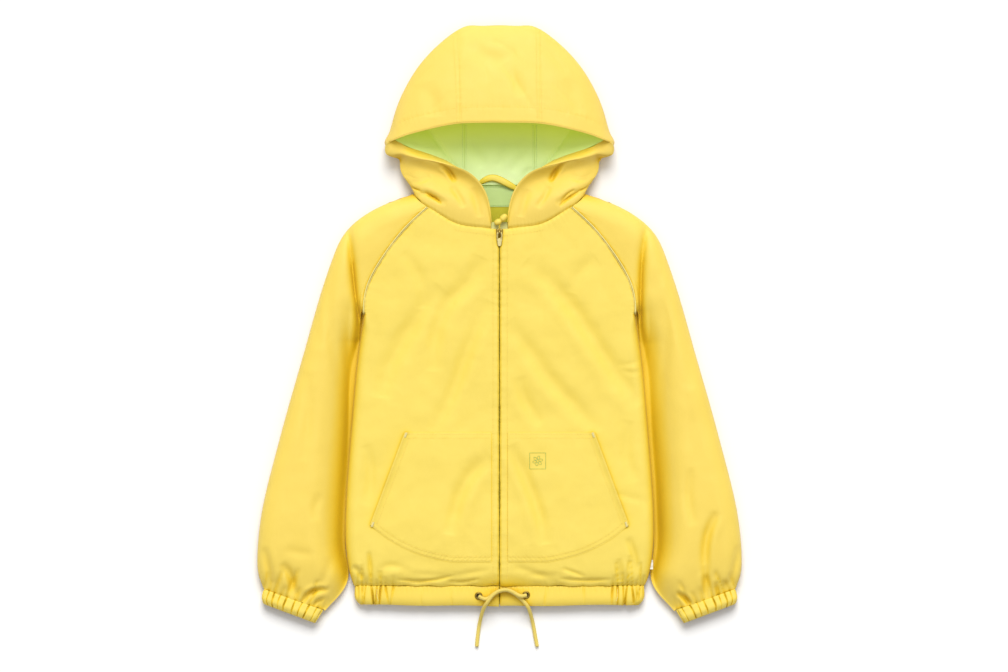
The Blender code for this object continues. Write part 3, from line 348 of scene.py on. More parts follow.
SLEEVE_FOLDS = rows_of(Fold,
    # wearer's right
    (7, 2, 0.3, [(-212, 64), (-211, -6), (-203, -52), (-199, -84)]),
    (8, 1.8, 0.2, [(-228, 78), (-232, 30), (-226, -30)]),
    (8, 1.95, 0, [(-240, -60), (-238, -120), (-244, -170)]),
    (6, 1.8, 0.2, [(-222, -212), (-229, -226), (-228, -244)]),
    (6, 1.3, 0, [(-268, -280), (-250, -284), (-230, -287)]),
    (5, 3.9, 0.3, [(-293, -278), (-289, -300), (-284, -326)]),
    (5, 4.8, -0.3, [(-271, -298), (-262, -310), (-257, -328), (-256, -340)]),
    (3, 6, 0.5, [(-244, -346), (-238, -336), (-226, -331), (-212, -331)]),
    (2.5, 3.9, 0.4, [(-233, -351), (-226, -345), (-217, -342)]),
    (6, 2.4, 0, [(-210, -290), (-216, -312), (-226, -330)]),
    # wearer's left
    (7, 2, -0.3, [(206, 44), (208, -10), (203, -70), (201, -104)]),
    (8, 1.2, 0.2, [(197, 70), (196, 40), (200, 0)]),
    (8, 1.95, 0, [(226, 30), (236, -20), (240, -80)]),
    (5.5, 4.5, 0.5, [(270, -234), (260, -258), (256, -284), (257, -312)]),
    (6, 2.4, 0, [(238, -180), (236, -220), (242, -250)]),
    (5, 4.2, 0.3, [(298, -276), (294, -300), (289, -326)]),
    (3, 6.3, 0.5, [(221, -334), (229, -340), (238, -348)]),
    (3.5, 4.8, -0.4, [(256, -310), (257, -330), (259, -342)]),
    (3, 4.2, 0.3, [(270, -320), (272, -332), (274, -340)]),
    (4, 2.7, 0, [(282, -318), (281, -330), (281, -336)]),
)
SLEEVE_VALLEYS = rows_of(Fold,
    (4.2, 11, 0, [(-188, 122), (-185, 90), (-182, 58), (-178.5, 28), (-174.5, 4), (-172.5, -14)]),
    (4.2, 10, 0, [(183, 126), (178.5, 90), (176.5, 52), (175.5, 18), (174, -4), (173, -20)])
)
HOOD_FOLDS = rows_of(Fold,
    (9, 2, 0.3, [(-36, 350), (-20, 335), (-2, 330), (22, 338)]),
    (8, 1.8, 0, [(8, 325), (20, 305), (30, 285)]),
    (10, 2, 0, [(-92, 300), (-84, 280), (-82, 258)]),
    (9, 1.8, 0, [(84, 306), (92, 284), (96, 262)])
)
CROWN_CREASES = rows_of(Fold,
    (2.4, 1, 0, [(-20, 354), (0, 350), (20, 337)]), (2.2, 0.9, 0, [(4, 322), (22, 300), (44, 264)]),
    (2.4, 0.9, 0, [(48, 350), (66, 334), (86, 308)]), (2.2, 0.7, 0, [(16, 318), (20, 302), (18, 284)]),
    (2.4, 0.8, 0, [(-104, 300), (-94, 312), (-78, 325)]), (2.2, 0.6, 0, [(-30, 330), (-18, 318), (-16, 300)]),
    (2.4, 0.7, 0, [(66, 300), (84, 282), (108, 262)]), (2.2, 0.6, 0, [(-62, 290), (-74, 276), (-92, 264)])
)
CHEEK_FOLDS = rows_of(Fold,
    # wearer's right
    (2.6, 3.6, -0.4, [(-75, 198), (-67, 193), (-59, 184), (-55, 178)]),
    (3, 1, -0.3, [(-112, 178), (-100, 178), (-86, 184)]),
    (4, 2, 0.4, [(-104, 160), (-92, 163), (-80, 158), (-66, 150)]),
    (4, 2.08, 0, [(-60, 172), (-50, 158), (-44, 146)]),
    (5, 1.92, 0, [(-34, 170), (-28, 150), (-24, 134)]),
    # wearer's left
    (2.6, 3.6, 0.4, [(79, 199), (73, 193), (66, 184), (62, 178)]),
    (3, 1, 0.3, [(112, 182), (100, 180), (88, 184)]),
    (4, 2, -0.4, [(106, 164), (94, 164), (84, 158), (70, 150)]),
    (4, 2.24, 0, [(62, 172), (54, 156), (46, 146)]),
    (5, 1.92, 0, [(36, 168), (30, 150), (26, 134)])
)
CHEEK_PINCHES = rows_of(Fold,
    (2.4, 2.6, 0, [(-96, 204), (-82, 201), (-70, 196), (-62, 189), (-57, 180)]),
    (1.3, 3.6, 0, [(-116, 173), (-110, 170), (-104, 168), (-98, 166)]),
    (1.1, 4.2, 0, [(-93, 164.5), (-86, 160.5), (-80, 157), (-76, 153.5), (-73, 150)]),
    (2.2, 1.2, 0, [(-104, 166), (-88, 160), (-72, 151)]),
    (3, 0.8, 0, [(-118, 188), (-104, 182), (-88, 186)]),
    (2.4, 2.6, 0, [(98, 204), (85, 201), (76, 196), (69, 188), (64, 179)]),
    (1.3, 3.6, 0, [(118, 175), (111, 171), (105, 168), (98, 166)]),
    (1.1, 4.2, 0, [(101, 165.5), (91, 160.5), (83, 155), (78, 150.5), (75, 147)]),
    (1.3, 2.4, 0, [(94, 168), (87, 164), (81, 158), (78, 152)]),
    (3, 0.8, 0, [(118, 190), (104, 184), (88, 188)])
)
# Where the hood's outline is pushed outwards: x, y, the reach of the push, and how far in x and y.
HOOD_PUSHES = [(119, 188, 15, 5, 0), (137, 213, 9, 2.4, -2.6), (124, 206, 6, -2, 2)]
LINING_CREASES = rows_of(Fold,
    (2.6, 1.7, 0, [(100, 262), (80, 231), (58, 200), (46, 184)]),
    (2.6, 1.7, 0, [(-100, 262), (-80, 231), (-58, 200), (-46, 184)])
)
LINING_FOLDS = rows_of(Fold,
    (7, 2.08, 0.3, [(-36, 232), (-28, 215), (-20, 196)]),
    (6, 1.82, -0.3, [(34, 216), (24, 204), (16, 190)]),
    (5, 1.56, 0, [(6, 228), (4, 210), (-4, 196)]),
    (4, 1.56, 0, [(40, 196), (34, 190), (30, 182)])
)


# ---- lines and surfaces ----
def natural_spline(knots, values, at):
    """The natural cubic spline through values at rising knots, read at the places asked for."""
    knots, values, at = (np.asarray(item, float) for item in (knots, values, at))
    count = len(knots)
    step = np.diff(knots)
    slope = np.diff(values, axis=0) / step[:, None]
    system = np.eye(count)
    right = np.zeros_like(values)
    for i in range(1, count - 1):
        system[i, i - 1:i + 2] = step[i - 1], 2 * (step[i - 1] + step[i]), step[i]
        right[i] = 6 * (slope[i] - slope[i - 1])
    bend = np.linalg.solve(system, right)
    low = np.clip(np.searchsorted(knots, at, side="right") - 1, 0, count - 2)
    width = step[low][:, None]
    upper = (at[:, None] - knots[low][:, None]) / width
    lower = 1 - upper
    curve = lower * values[low] + upper * values[low + 1]
    return curve + ((lower ** 3 - lower) * bend[low] + (upper ** 3 - upper) * bend[low + 1]) * width ** 2 / 6


def run(points):
    """Length along a line of points, at each of them."""
    gaps = np.linalg.norm(np.diff(np.asarray(points, float), axis=0), axis=1)
    return np.concatenate([[0.0], np.cumsum(gaps)])


def smooth(points, shares):
    """A smooth curve through points, read at shares of its length from 0 to 1."""
    length = run(points)
    return natural_spline(length, points, np.asarray(shares) * length[-1])


def stepped(points, steps):
    """A smooth curve through points, with steps[i] even steps between point i and the next."""
    length = run(points)
    at = [length[0]]
    for i, count in enumerate(steps):
        at += list(np.linspace(length[i], length[i + 1], count + 1)[1:])
    return natural_spline(length, points, at)


def finer(grid, down, across):
    """A finer grid on smooth curves through the same points, with so many steps in each gap."""
    rows, columns = grid.shape[:2]
    at = np.linspace(0, rows - 1, (rows - 1) * down + 1)
    grid = natural_spline(np.arange(rows), grid.reshape(rows, -1), at).reshape(len(at), columns, 3)
    at = np.linspace(0, columns - 1, (columns - 1) * across + 1)
    turned = grid.transpose(1, 0, 2)
    turned = natural_spline(np.arange(columns), turned.reshape(columns, -1), at)
    return turned.reshape(len(at), -1, 3).transpose(1, 0, 2)


def nearest(points, line):
    """For points in plan: distance to a line of straight runs, share along it, and side of it."""
    flat = points.reshape(-1, 2)
    start, along = line[:-1], np.diff(line, axis=0)
    offset = flat[:, None] - start
    share = np.clip((offset * along).sum(-1) / (along ** 2).sum(-1), 0, 1)
    gap = offset - share[..., None] * along
    distance = np.linalg.norm(gap, axis=-1)
    best = distance.argmin(-1)
    pick = np.arange(len(flat))
    side = along[best, 0] * gap[pick, best, 1] - along[best, 1] * gap[pick, best, 0]
    shape = points.shape[:-1]
    place = (best + share[pick, best]) / len(start)
    return distance[pick, best].reshape(shape), place.reshape(shape), np.sign(side).reshape(shape)


def distance_to(points, line):
    return nearest(points, np.asarray(line, float))[0]


def rounded(distance, reach):
    """A quarter ellipse: 0 at the edge, rising to 1 at `reach` from it."""
    return np.sqrt(1 - (1 - np.clip(distance / reach, 0, 1)) ** 2)


def coons(bottom, top, left, right):
    """The grid of points between four edges; rows run from bottom to top."""
    across = (run(bottom) / run(bottom)[-1])[None, :, None]
    up = (run(left) / run(left)[-1])[:, None, None]
    ruled = (1 - up) * bottom[None] + up * top[None] + (1 - across) * left[:, None] + across * right[:, None]
    corners = (1 - up) * ((1 - across) * bottom[0] + across * bottom[-1])
    return ruled - corners - up * ((1 - across) * top[0] + across * top[-1])


def soft(distance):
    """A round trough across a fold, 1 in its middle."""
    return np.exp(-distance ** 2)


def sharp(distance):
    """A crease across which cloth meets cloth, 1 in its middle."""
    return np.exp(-np.sqrt(distance ** 2 + 0.01) + 0.1)


def folded(plan, folds, shape=soft):
    """How far listed folds lower the cloth at points in plan."""
    depth = np.zeros(plan.shape[:-1])
    for fold in folds:
        line = smooth(fold.points, np.linspace(0, 1, FOLD_POINTS))
        reach = FOLD_REACH * fold.width
        low, high = line.min(0) - reach, line.max(0) + reach
        here = ((plan > low) & (plan < high)).all(-1)
        if not here.any():
            continue
        distance, place, side = nearest(plan[here], line)
        taper = np.clip(np.sin(np.pi * np.clip(place, 0.0, 1.0)), 0, 1) ** FOLD_TAPER
        trough = shape(distance / fold.width) * taper
        leaning = distance * side * np.sign(fold.lean or 1) / fold.width
        ridge = np.exp(-((leaning - RIDGE_PLACE) / RIDGE_WIDTH) ** 2) * taper
        depth[here] += fold.depth * (trough - abs(fold.lean) * RIDGE_SHARE * ridge)
    return depth


def crumple(points, size, seed):
    """Even, slow noise from -1 to 1 over points, in features of about `size` mm."""
    flat = points.reshape(-1, points.shape[-1])
    plan = np.zeros((len(flat), 3))
    plan[:, :flat.shape[1]] = flat
    values = [noise.noise(Vector(place)) for place in plan / size + seed * 7.3]
    return np.array(values).reshape(points.shape[:-1])


def drape_noise(points, seed):
    """The small unevenness of cloth that lies loosely."""
    return sum(height * crumple(points, size, seed + number) for number, (size, height) in enumerate(DRAPES))


def seam_dip(distance):
    return SEAM_DIP * np.exp(-(distance / SEAM_DIP_WIDTH) ** 2)


def puckered(distance, along, pitch=7.0):
    """Ripples beside a stitched seam, dying out away from it."""
    wave = np.sin(2 * np.pi * along / pitch + 1.7 * np.sin(along / 23.0)) + 0.5 * np.sin(along / 2.9)
    return PUCKER * wave * np.exp(-distance / 5.0)


def normals_of(grid):
    normal = np.cross(np.gradient(grid, axis=1), np.gradient(grid, axis=0))
    return normal / np.maximum(np.linalg.norm(normal, axis=-1, keepdims=True), 1e-9)


def mirrored(grid):
    return grid * np.array([-1.0, 1.0, 1.0])


def with_z(plan, z):
    return np.concatenate([plan, z[..., None]], axis=-1)


# ---- pieces ----
def add_piece(name, mesh, materials, nodes=(), body=JACKET):
    """Links a mesh as a piece that rides on a body and stands for the CAD nodes named."""
    mesh.shade_smooth()
    for material in materials:
        mesh.materials.append(material)
    piece = bpy.data.objects.new(name, mesh)
    bpy.context.scene.collection.objects.link(piece)
    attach(piece, body)
    if nodes:
        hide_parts(*nodes)
    return piece


def tight_ends(grid):
    """Adds a row just inside each end, so that shading doesn't bend into the cut edge."""
    steps = np.array([grid[1] - grid[0], grid[-2] - grid[-1]])
    length = np.linalg.norm(steps, axis=-1, keepdims=True)
    first, last = grid[[0, -1]] + steps * np.minimum(EDGE / np.maximum(length, EDGE), 0.3)
    return np.concatenate([grid[:1], first[None], grid[1:-1], last[None], grid[-1:]])


def grid_mesh(name, grid, ring=False, flip=False):
    grid = tight_ends(grid)
    if not ring:
        grid = tight_ends(grid.transpose(1, 0, 2)).transpose(1, 0, 2)
    rows, columns = grid.shape[:2]
    index = np.arange(rows * columns).reshape(rows, columns)
    if ring:
        index = np.concatenate([index, index[:, :1]], axis=1)
    corners = [index[:-1, :-1], index[:-1, 1:], index[1:, 1:], index[1:, :-1]]
    faces = np.stack(corners[::-1] if flip else corners, axis=-1).reshape(-1, 4)
    mesh = bpy.data.meshes.new(name)
    mesh.from_pydata((grid.reshape(-1, 3) * MM).tolist(), [], faces.tolist())
    return mesh


def cloth(name, grid, materials, nodes=(), wall=WALL, ring=False, flip=False):
    """A sewn piece: a grid of points on its outer face, with a wall made inwards from it.

    A second material, where there is one, is the inner face's.
    """
    piece = add_piece(name, grid_mesh(name, grid, ring, flip), materials, nodes)
    solid = piece.modifiers.new("wall", "SOLIDIFY")
    solid.thickness = wall * MM
    solid.offset = -1
    if len(materials) > 1:
        solid.material_offset = 1
    return piece


def joined(name, parts, materials, nodes=(), body=JACKET):
    """One mesh from many (points, faces) parts."""
    points, faces, start = [], [], 0
    for part_points, part_faces in parts:
        points.append(np.asarray(part_points, float))
        faces += [[corner + start for corner in face] for face in part_faces]
        start += len(part_points)
    mesh = bpy.data.meshes.new(name)
    mesh.from_pydata((np.concatenate(points) * MM).tolist(), [], faces)
    return add_piece(name, mesh, materials, nodes, body)


def frames_along(line):
    """Sideways and upward directions at each point of a line in space."""
    tangent = np.gradient(line, axis=0)
    tangent /= np.linalg.norm(tangent, axis=1, keepdims=True)
    side = np.cross(tangent, (0.0, 0.0, 1.0))
    side /= np.maximum(np.linalg.norm(side, axis=1, keepdims=True), 1e-9)
    return side, np.cross(side, tangent)


def ring_faces(rings, around, capped=True):
    """Faces between rings of points, and over both ends."""
    faces = []
    for start in range(0, (rings - 1) * around, around):
        for j in range(around):
            k = (j + 1) % around
            faces.append([start + j, start + k, start + around + k, start + around + j])
    if capped:
        last = (rings - 1) * around
        faces += [list(range(around))[::-1], list(range(last, last + around))]
    return faces


def tube_part(line, radii, around=10):
    """Points and faces of a closed tube of changing radius along a line."""
    side, up = frames_along(line)
    angle = np.linspace(0, 2 * np.pi, around, endpoint=False)
    ring = np.cos(angle)[None, :, None] * side[:, None] + np.sin(angle)[None, :, None] * up[:, None]
    radii = np.broadcast_to(np.asarray(radii, float), (len(line),)) if np.ndim(radii) < 2 else radii
    radii = radii[..., None, None] if radii.ndim == 1 else radii[..., None]
    return (line[:, None] + ring * radii).reshape(-1, 3), ring_faces(len(line), around)


def oval_section(half_width, half_height, around):
    """Distances from a flattened section's middle to its outline."""
    angle = np.linspace(0, 2 * np.pi, around, endpoint=False)
    return 1 / np.sqrt((np.cos(angle) / half_width) ** 2 + (np.sin(angle) / half_height) ** 2)


# ---- body ----
def column_of(table, field):
    return np.array([getattr(row, field) for row in table])


SIDE = np.stack([column_of(BODY, "half_width"), column_of(BODY, "y")], axis=-1)


def side_curve(shares):
    return smooth(SIDE, shares)


SIDE_FINE = side_curve(np.linspace(0, 1, 80))


def body_height(y):
    return natural_spline(column_of(BODY, "y"), column_of(BODY, "height")[:, None],
                          np.clip(y, BODY[0].y, ARMPIT[1]).ravel()).reshape(np.shape(y))


def from_side(plan):
    """Distance in plan to the nearer side edge, worked out only near it."""
    right = np.stack([np.abs(plan[..., 0]), plan[..., 1]], axis=-1)
    distance = np.full(plan.shape[:-1], 99.0)
    near = right[..., 0] > 120
    if near.any():
        distance[near] = distance_to(right[near], SIDE_FINE)
    return distance


def side_rounding(plan):
    """How far the fronts have risen from their side edges, in a tighter turn by the armpits."""
    from_armpit = np.hypot(np.abs(plan[..., 0]) - ARMPIT[0], plan[..., 1] - ARMPIT[1])
    tightness = ARMPIT_TIGHT * np.exp(-(from_armpit / ARMPIT_REACH) ** 2)
    return rounded(from_side(plan), SIDE_REACH * (1 - tightness))


def front_z(plan):
    """Height of the fronts' outer face over points in plan."""
    half = body_height(plan[..., 1]) / 2
    return half + STRIP + (half - STRIP) * side_rounding(plan)


def back_z(plan):
    """Height of the back's outer face: flat on the surface, curling up at the sides."""
    half = body_height(plan[..., 1]) / 2
    return (half - STRIP) * (1 - rounded(from_side(plan), SIDE_REACH))


def crowded(shares):
    """Shares of a raglan seam's length, crowded near the armpit as in the CAD."""
    turn = np.pi * RAGLAN_CROWDING
    return (1 - np.cos(turn * shares)) / (1 - math.cos(turn))


def raglan(points, count):
    """A raglan seam in plan."""
    return smooth(points, crowded(np.linspace(0, 1, count)))


FRONT_SEAM = raglan(FRONT_RAGLAN, 90)
BACK_SEAM = raglan(BACK_RAGLAN, 81)
NECK_SEAM = smooth(np.array(NECK_FRONT)[::-1, :2], np.linspace(0, 1, 60))


def gather_folds():
    """The folds that rise from the hem's gathers into the body."""
    folds = []
    for gather in HEM_GATHERS:
        drift = 3.0 * math.sin(gather.x * 1.7)
        line = [(gather.x, HEM_SEAM_Y - 10), (gather.x + 0.2 * drift, HEM_SEAM_Y - 2 + gather.reach * 0.35),
                (gather.x + drift, HEM_SEAM_Y - 2 + gather.reach)]
        folds.append(Fold(gather.width * 1.25, gather.depth, 0.0, line))
    return folds


def front_surface(plan):
    """The fronts' outer face with its folds, seams and unevenness. x keeps its sign here."""
    z = front_z(plan)
    bulge = side_rounding(plan)
    depth = folded(plan, FRONT_FOLDS) + folded(plan, gather_folds(), sharp)
    z = z - depth * (FOLDS_AT_SIDE + (1 - FOLDS_AT_SIDE) * bulge)
    z = z + (drape_noise(plan, 3) * 1.5 + 0.35) * bulge
    mirror = np.stack([np.abs(plan[..., 0]), plan[..., 1]], axis=-1)
    raglan_gap, place, _ = nearest(mirror, FRONT_SEAM[::4])
    neck_gap, neck_place, _ = nearest(mirror, NECK_SEAM[::4])
    z = z - RAGLAN_DIP * seam_dip(raglan_gap) - seam_dip(neck_gap) - 0.5 * seam_dip(plan[..., 1] - HEM_SEAM_Y)
    z = z + puckered(raglan_gap, place * 160, 8.0) + puckered(neck_gap, neck_place * 100, 6.0)
    z = z + puckered(plan[..., 1] - HEM_SEAM_Y, plan[..., 0], 6.5)
    zip_gap = mirror[..., 0] - ZIP_EDGE
    along = plan[..., 1] + 9 * np.sign(plan[..., 0])
    z = z - ZIP_ROLL * np.exp(-(zip_gap / ZIP_ROLL_WIDTH) ** 2) + puckered(zip_gap, along, 9.0)
    return z + PLACKET_RISE * np.exp(-((zip_gap - PLACKET_MIDDLE) / PLACKET_WIDTH) ** 2)


def panel_columns(inner_x):
    """Where a panel's columns stand along the hem: close at the zip and on the round side."""
    edge = BODY[0].half_width
    flat_end = edge - SIDE_REACH
    turned = edge - SIDE_REACH * (1 - np.cos(np.linspace(np.pi / 2, 0, 20)))
    x = np.concatenate([np.linspace(inner_x, inner_x + 3, 4), np.linspace(inner_x + 3, 132, 60)[1:],
                        np.linspace(132, flat_end, 20)[1:], turned[1:]])
    return (x - inner_x) / (edge - inner_x)


def panel_plan(shares, neck, seam, inner_x):
    """Half a panel in plan: rows from hem to neck, columns from the middle to the side seam."""
    down = np.concatenate([np.linspace(0, 0.12, 30), np.linspace(0.12, 1, 132)[1:]])
    right = np.concatenate([side_curve(down), seam[1:]])
    bottom = np.stack([inner_x + (right[0, 0] - inner_x) * shares, np.full(len(shares), HEM_SEAM_Y)], axis=-1)
    top = smooth(neck, shares)
    level = np.concatenate([right[:len(down), 1], np.linspace(ARMPIT[1], top[0, 1], len(seam))[1:]])
    left = np.stack([np.full(len(right), inner_x), level], axis=-1)
    return coons(bottom, top, left, right), len(down) - 1


def with_strip(grid, armpit_row, towards):
    """Adds the upright strip along the side seam, and a turned edge along the raglan seam."""
    extra = grid[:, -1:].copy()
    half = body_height(grid[:armpit_row + 1, -1, 1]) / 2
    extra[:armpit_row + 1, 0, 2] = half + towards * 0.15
    extra[armpit_row + 1:, 0, 2] -= towards * 0.8
    return np.concatenate([grid, extra], axis=1)


def hem_overhang(x):
    """How far the cloth bags down over the hem's seam, drawn in at each gather."""
    drawn = sum(np.exp(-((x - gather.x) / 2.4) ** 2) * min(gather.depth / 2.5, 1) for gather in HEM_GATHERS)
    wave = 0.9 + 0.8 * np.sin(x / 9.0) * np.sin(x / 23.0 + 1) + 0.5 * np.sin(x / 4.3)
    return np.maximum(wave, 0.1) * (1 - 0.9 * np.clip(drawn, 0, 1))


def front_grid(sign):
    neck = np.array(NECK_FRONT)[::-1, :2]
    plan, armpit_row = panel_plan(panel_columns(ZIP_EDGE), neck, FRONT_SEAM, ZIP_EDGE)
    waver = ZIP_WAVER * crumple(plan[:, :1] * (0, 1), 17, 5 + sign)
    plan[..., 0] += waver * np.exp(-((plan[..., 0] - ZIP_EDGE) / 4) ** 2)
    plan = plan * (sign, 1)
    grid = with_z(plan, front_surface(plan))
    grid[..., 1] -= hem_overhang(plan[..., 0]) * np.exp(-((plan[..., 1] - HEM_SEAM_Y) / 5) ** 2)
    return with_strip(grid, armpit_row, 1)


def make_fronts():
    for side, sign in SIDES:
        cloth("cloth_front_" + side, front_grid(sign), [SHELL], nodes=["front_" + side], flip=sign < 0)


def make_back():
    plan, armpit_row = panel_plan(panel_columns(0.0)[::2], np.array(NECK_BACK)[:, :2], BACK_SEAM, 0.0)
    plan = plan[::2]
    half = with_strip(with_z(plan, back_z(plan)), armpit_row // 2, -1)
    grid = np.concatenate([mirrored(half)[:, :0:-1], half], axis=1)
    lifted = np.clip(folded(grid[..., :2], BACK_FOLDS), 0, None) * rounded(from_side(grid[..., :2]), 60)
    grid[..., 2] = np.maximum(grid[..., 2] + lifted, 0)
    cloth("cloth_back", grid, [SHELL], nodes=["back"], flip=True)


# ---- sleeves and cuffs ----
def sleeve_start(seam, shoulder, steps, count):
    """The sleeve's upper edge on one side: the raglan seam, then the neck's shoulder points."""
    points, height = seam
    knots = np.arange(steps, steps + 1 + len(shoulder))
    at = np.linspace(0, knots[-1], count)
    on_seam = at <= steps
    line = smooth(points, crowded(at[on_seam] / steps))
    corner = [*points[-1], HEIGHT if height is front_z else 0.0]
    beyond = natural_spline(knots, np.concatenate([[corner], shoulder]), at[~on_seam])
    return np.concatenate([with_z(line, height(line)), beyond])


def sleeve_edges():
    """Down the arm: the sleeve's inner and outer edge in plan, half its height, and length so far."""
    coarse = np.array(SLEEVE)
    down = run((coarse[:, :2] + coarse[:, 2:4]) / 2)
    fine = natural_spline(down, coarse, np.linspace(0, down[-1], SLEEVE_ROWS))
    inner, outer, half = fine[:, :2].copy(), fine[:, 2:4], fine[:, 4:] / 2
    inner[:, 0] -= TUCK * np.clip((ARMPIT[1] - inner[:, 1]) / 40, 0, 1)
    return inner, outer, half, run((inner + outer) / 2)


def valley_sizes(sign, inner, down):
    """The valley's middle, depth and width beside each row; it grows from the armpit and ends at the cuff."""
    table = np.array(VALLEYS[sign])[::-1]
    middle, sunk, width = natural_spline(table[:, 0], table[:, 1:], inner[:, 1]).T[:, :, None]
    level = down[:, None]
    sunk = sunk * np.clip((down[-1] - level) / 40, 0, 1) * np.clip(0.2 + level / 110, 0, 1)
    return np.maximum(middle, VALLEY_NEAREST), sunk, width * np.clip(0.35 + level / 150, 0, 1)


def valley_ramp(plan, from_body, sizes):
    """How high the sleeve's front stands, in halves of its height: 1 on the arm, below 0 in the valley."""
    middle, sunk, width = sizes
    beyond = np.sqrt((from_body - middle) ** 2 + VALLEY_ROUND ** 2) - VALLEY_ROUND
    rise = 1 - (1 - np.clip(beyond / width, 0, 1)) ** VALLEY_STEEP
    ramp = np.where(from_body < middle, -sunk, (1 + sunk) * rise - sunk)
    sinks = np.clip((VALLEY_TOP - plan[..., 1]) / VALLEY_RUN, 0, 1)
    return 1 - (1 - ramp) * np.maximum(sinks, np.exp(-(from_body / VALLEY_EDGE) ** 2))


def sleeve_front_folds(z, signed, sign, bulge, from_body, seam_gap, along_seam):
    """The sleeve's front with its folds, unevenness and piped seam."""
    clear = np.clip(seam_gap / 14, 0, 1)
    depth = folded(signed, SLEEVE_FOLDS) + folded(signed, cuff_folds(sign), sharp)
    z = z - depth * bulge ** 0.7 * clear
    z = z - folded(signed, SLEEVE_VALLEYS, sharp) * np.clip(from_body / 6, 0, 1) * np.clip(seam_gap / 6, 0, 1)
    z = np.maximum(z, LOWEST)
    z = z + (drape_noise(signed, 11) * 1.1 + 0.3) * bulge * clear - RAGLAN_DIP * seam_dip(seam_gap)
    return z + puckered(seam_gap, along_seam[None] * np.ones_like(z), 8.0) * bulge


def sleeve_half(start, side, sign):
    """Half a sleeve's points, rows down the arm and columns from its inner to its outer edge."""
    inner, outer, half, down = sleeve_edges()
    share = (1 - np.cos(np.pi * np.linspace(0, 1, len(start)))) / 2
    bend = start[:, :2] - (inner[0] + (outer[0] - inner[0]) * share[:, None])
    fade = np.clip(1 - down / down[-1], 0, 1) ** SEAM_BEND_FADE
    plan = inner[:, None] + (outer - inner)[:, None] * share[None, :, None] + fade[:, None, None] * bend[None]
    from_body = distance_to(plan, inner[::4])
    from_outer = distance_to(plan, outer[::4])
    sizes = valley_sizes(sign, inner, down)
    if side > 0:
        from_outer[:, -1] = 0
        ramp = np.minimum(rounded(from_outer, SLEEVE_REACH), valley_ramp(plan, from_body, sizes))
        z = half + half * ramp
        bulge = np.clip(ramp, 0, 1)
    else:
        edge = np.minimum(from_body, from_outer)
        edge[:, [0, -1]] = 0
        bulge = rounded(edge, SLEEVE_REACH)
        _, sunk, width = sizes
        z = half * (1 - sunk * np.clip(1 - from_body / width, 0, 1)) * (1 - bulge)
    z += (start[:, 2] - z[0]) * np.exp(-down / 12.0)[:, None]
    signed = plan * (sign, 1)
    seam_gap = distance_to(plan, start[::3, :2])
    if side > 0:
        z = sleeve_front_folds(z, signed, sign, bulge, from_body, seam_gap, run(start))
    else:
        lifted = np.clip(folded(signed, SLEEVE_FOLDS) * 0.5, 0, 3.0) * rounded(edge, 40)
        z = np.maximum(z + lifted * np.clip(seam_gap / 14, 0, 1), 1.1 * WALL * np.exp(-(seam_gap / 8) ** 2))
    return drawn_to_cuff(with_z(plan, z), inner + outer, down, side * bulge, sign)


def drawn_to_cuff(grid, arm, down, rounding, sign):
    """The sleeve's end turned down over the cuff's seam, and drawn in at the cuff's gathers."""
    cuff_gap = (down[-1] - down)[:, None]
    signed = grid[..., :2] * (sign, 1)
    grid[..., 2] -= 0.9 * np.exp(-(cuff_gap / 2.0) ** 2) * rounding
    along_arm = (arm[-1] - arm[-9]) / np.linalg.norm(arm[-1] - arm[-9])
    drawn = sum(np.exp(-(distance_to(signed, fold.points[:2]) / 2.2) ** 2) for fold in cuff_folds(sign))
    over = (2.0 - 1.9 * np.clip(drawn, 0, 1)) * np.exp(-(cuff_gap / 4) ** 2)
    grid[..., :2] += over[..., None] * along_arm
    return grid


def cuff_sections(count_down):
    coarse = np.array(CUFF)
    level = run((coarse[:, :2] + coarse[:, 2:4]) / 2)
    return natural_spline(level, coarse, np.linspace(0, level[-1], count_down))


def oval(width, height, count):
    """An even ring round a flattened tube's end, and its outward directions."""
    angle = np.linspace(0, 2 * np.pi, 721)
    across = -np.sign(np.cos(angle)) * np.abs(np.cos(angle)) ** CUFF_ROUNDNESS
    up = np.sign(np.sin(angle)) * np.abs(np.sin(angle)) ** CUFF_ROUNDNESS
    flat = np.stack([across * width / 2, up * height / 2], axis=-1)
    length = run(flat)
    at = np.linspace(0, length[-1], count, endpoint=False)
    flat = np.stack([np.interp(at, length, flat[:, i]) for i in range(2)], axis=-1)
    tangent = np.roll(flat, -2, axis=0) - np.roll(flat, 2, axis=0)
    out = np.stack([-tangent[:, 1], tangent[:, 0]], axis=-1)
    return flat, out / np.linalg.norm(out, axis=1, keepdims=True)


def cuff_folds(sign):
    """The folds that run up the sleeve from the cuff's gathers."""
    section = cuff_sections(2)[0]
    inner, outer = section[:2], section[2:4]
    along = (outer - inner) / np.linalg.norm(outer - inner)
    up = np.array([-along[1], along[0]])
    flat, _ = oval(np.linalg.norm(outer - inner), section[4], CUFF_COLUMNS)
    folds = []
    for number, gather in enumerate(CUFF_GATHERS):
        at = flat[int(gather.at * CUFF_COLUMNS)]
        if at[1] < 0:
            continue
        foot = (inner + outer) / 2 + along * at[0]
        drift = along * (3.0 * math.sin(5.1 * number + sign))
        rise = up * gather.reach
        line = [foot - up * 6, foot + rise * 0.4 + drift * 0.3, foot + rise * 1.2 + drift]
        folds.append(Fold(2.1, gather.depth * 0.9, 0.0, [(x * sign, y) for x, y in line]))
    return folds


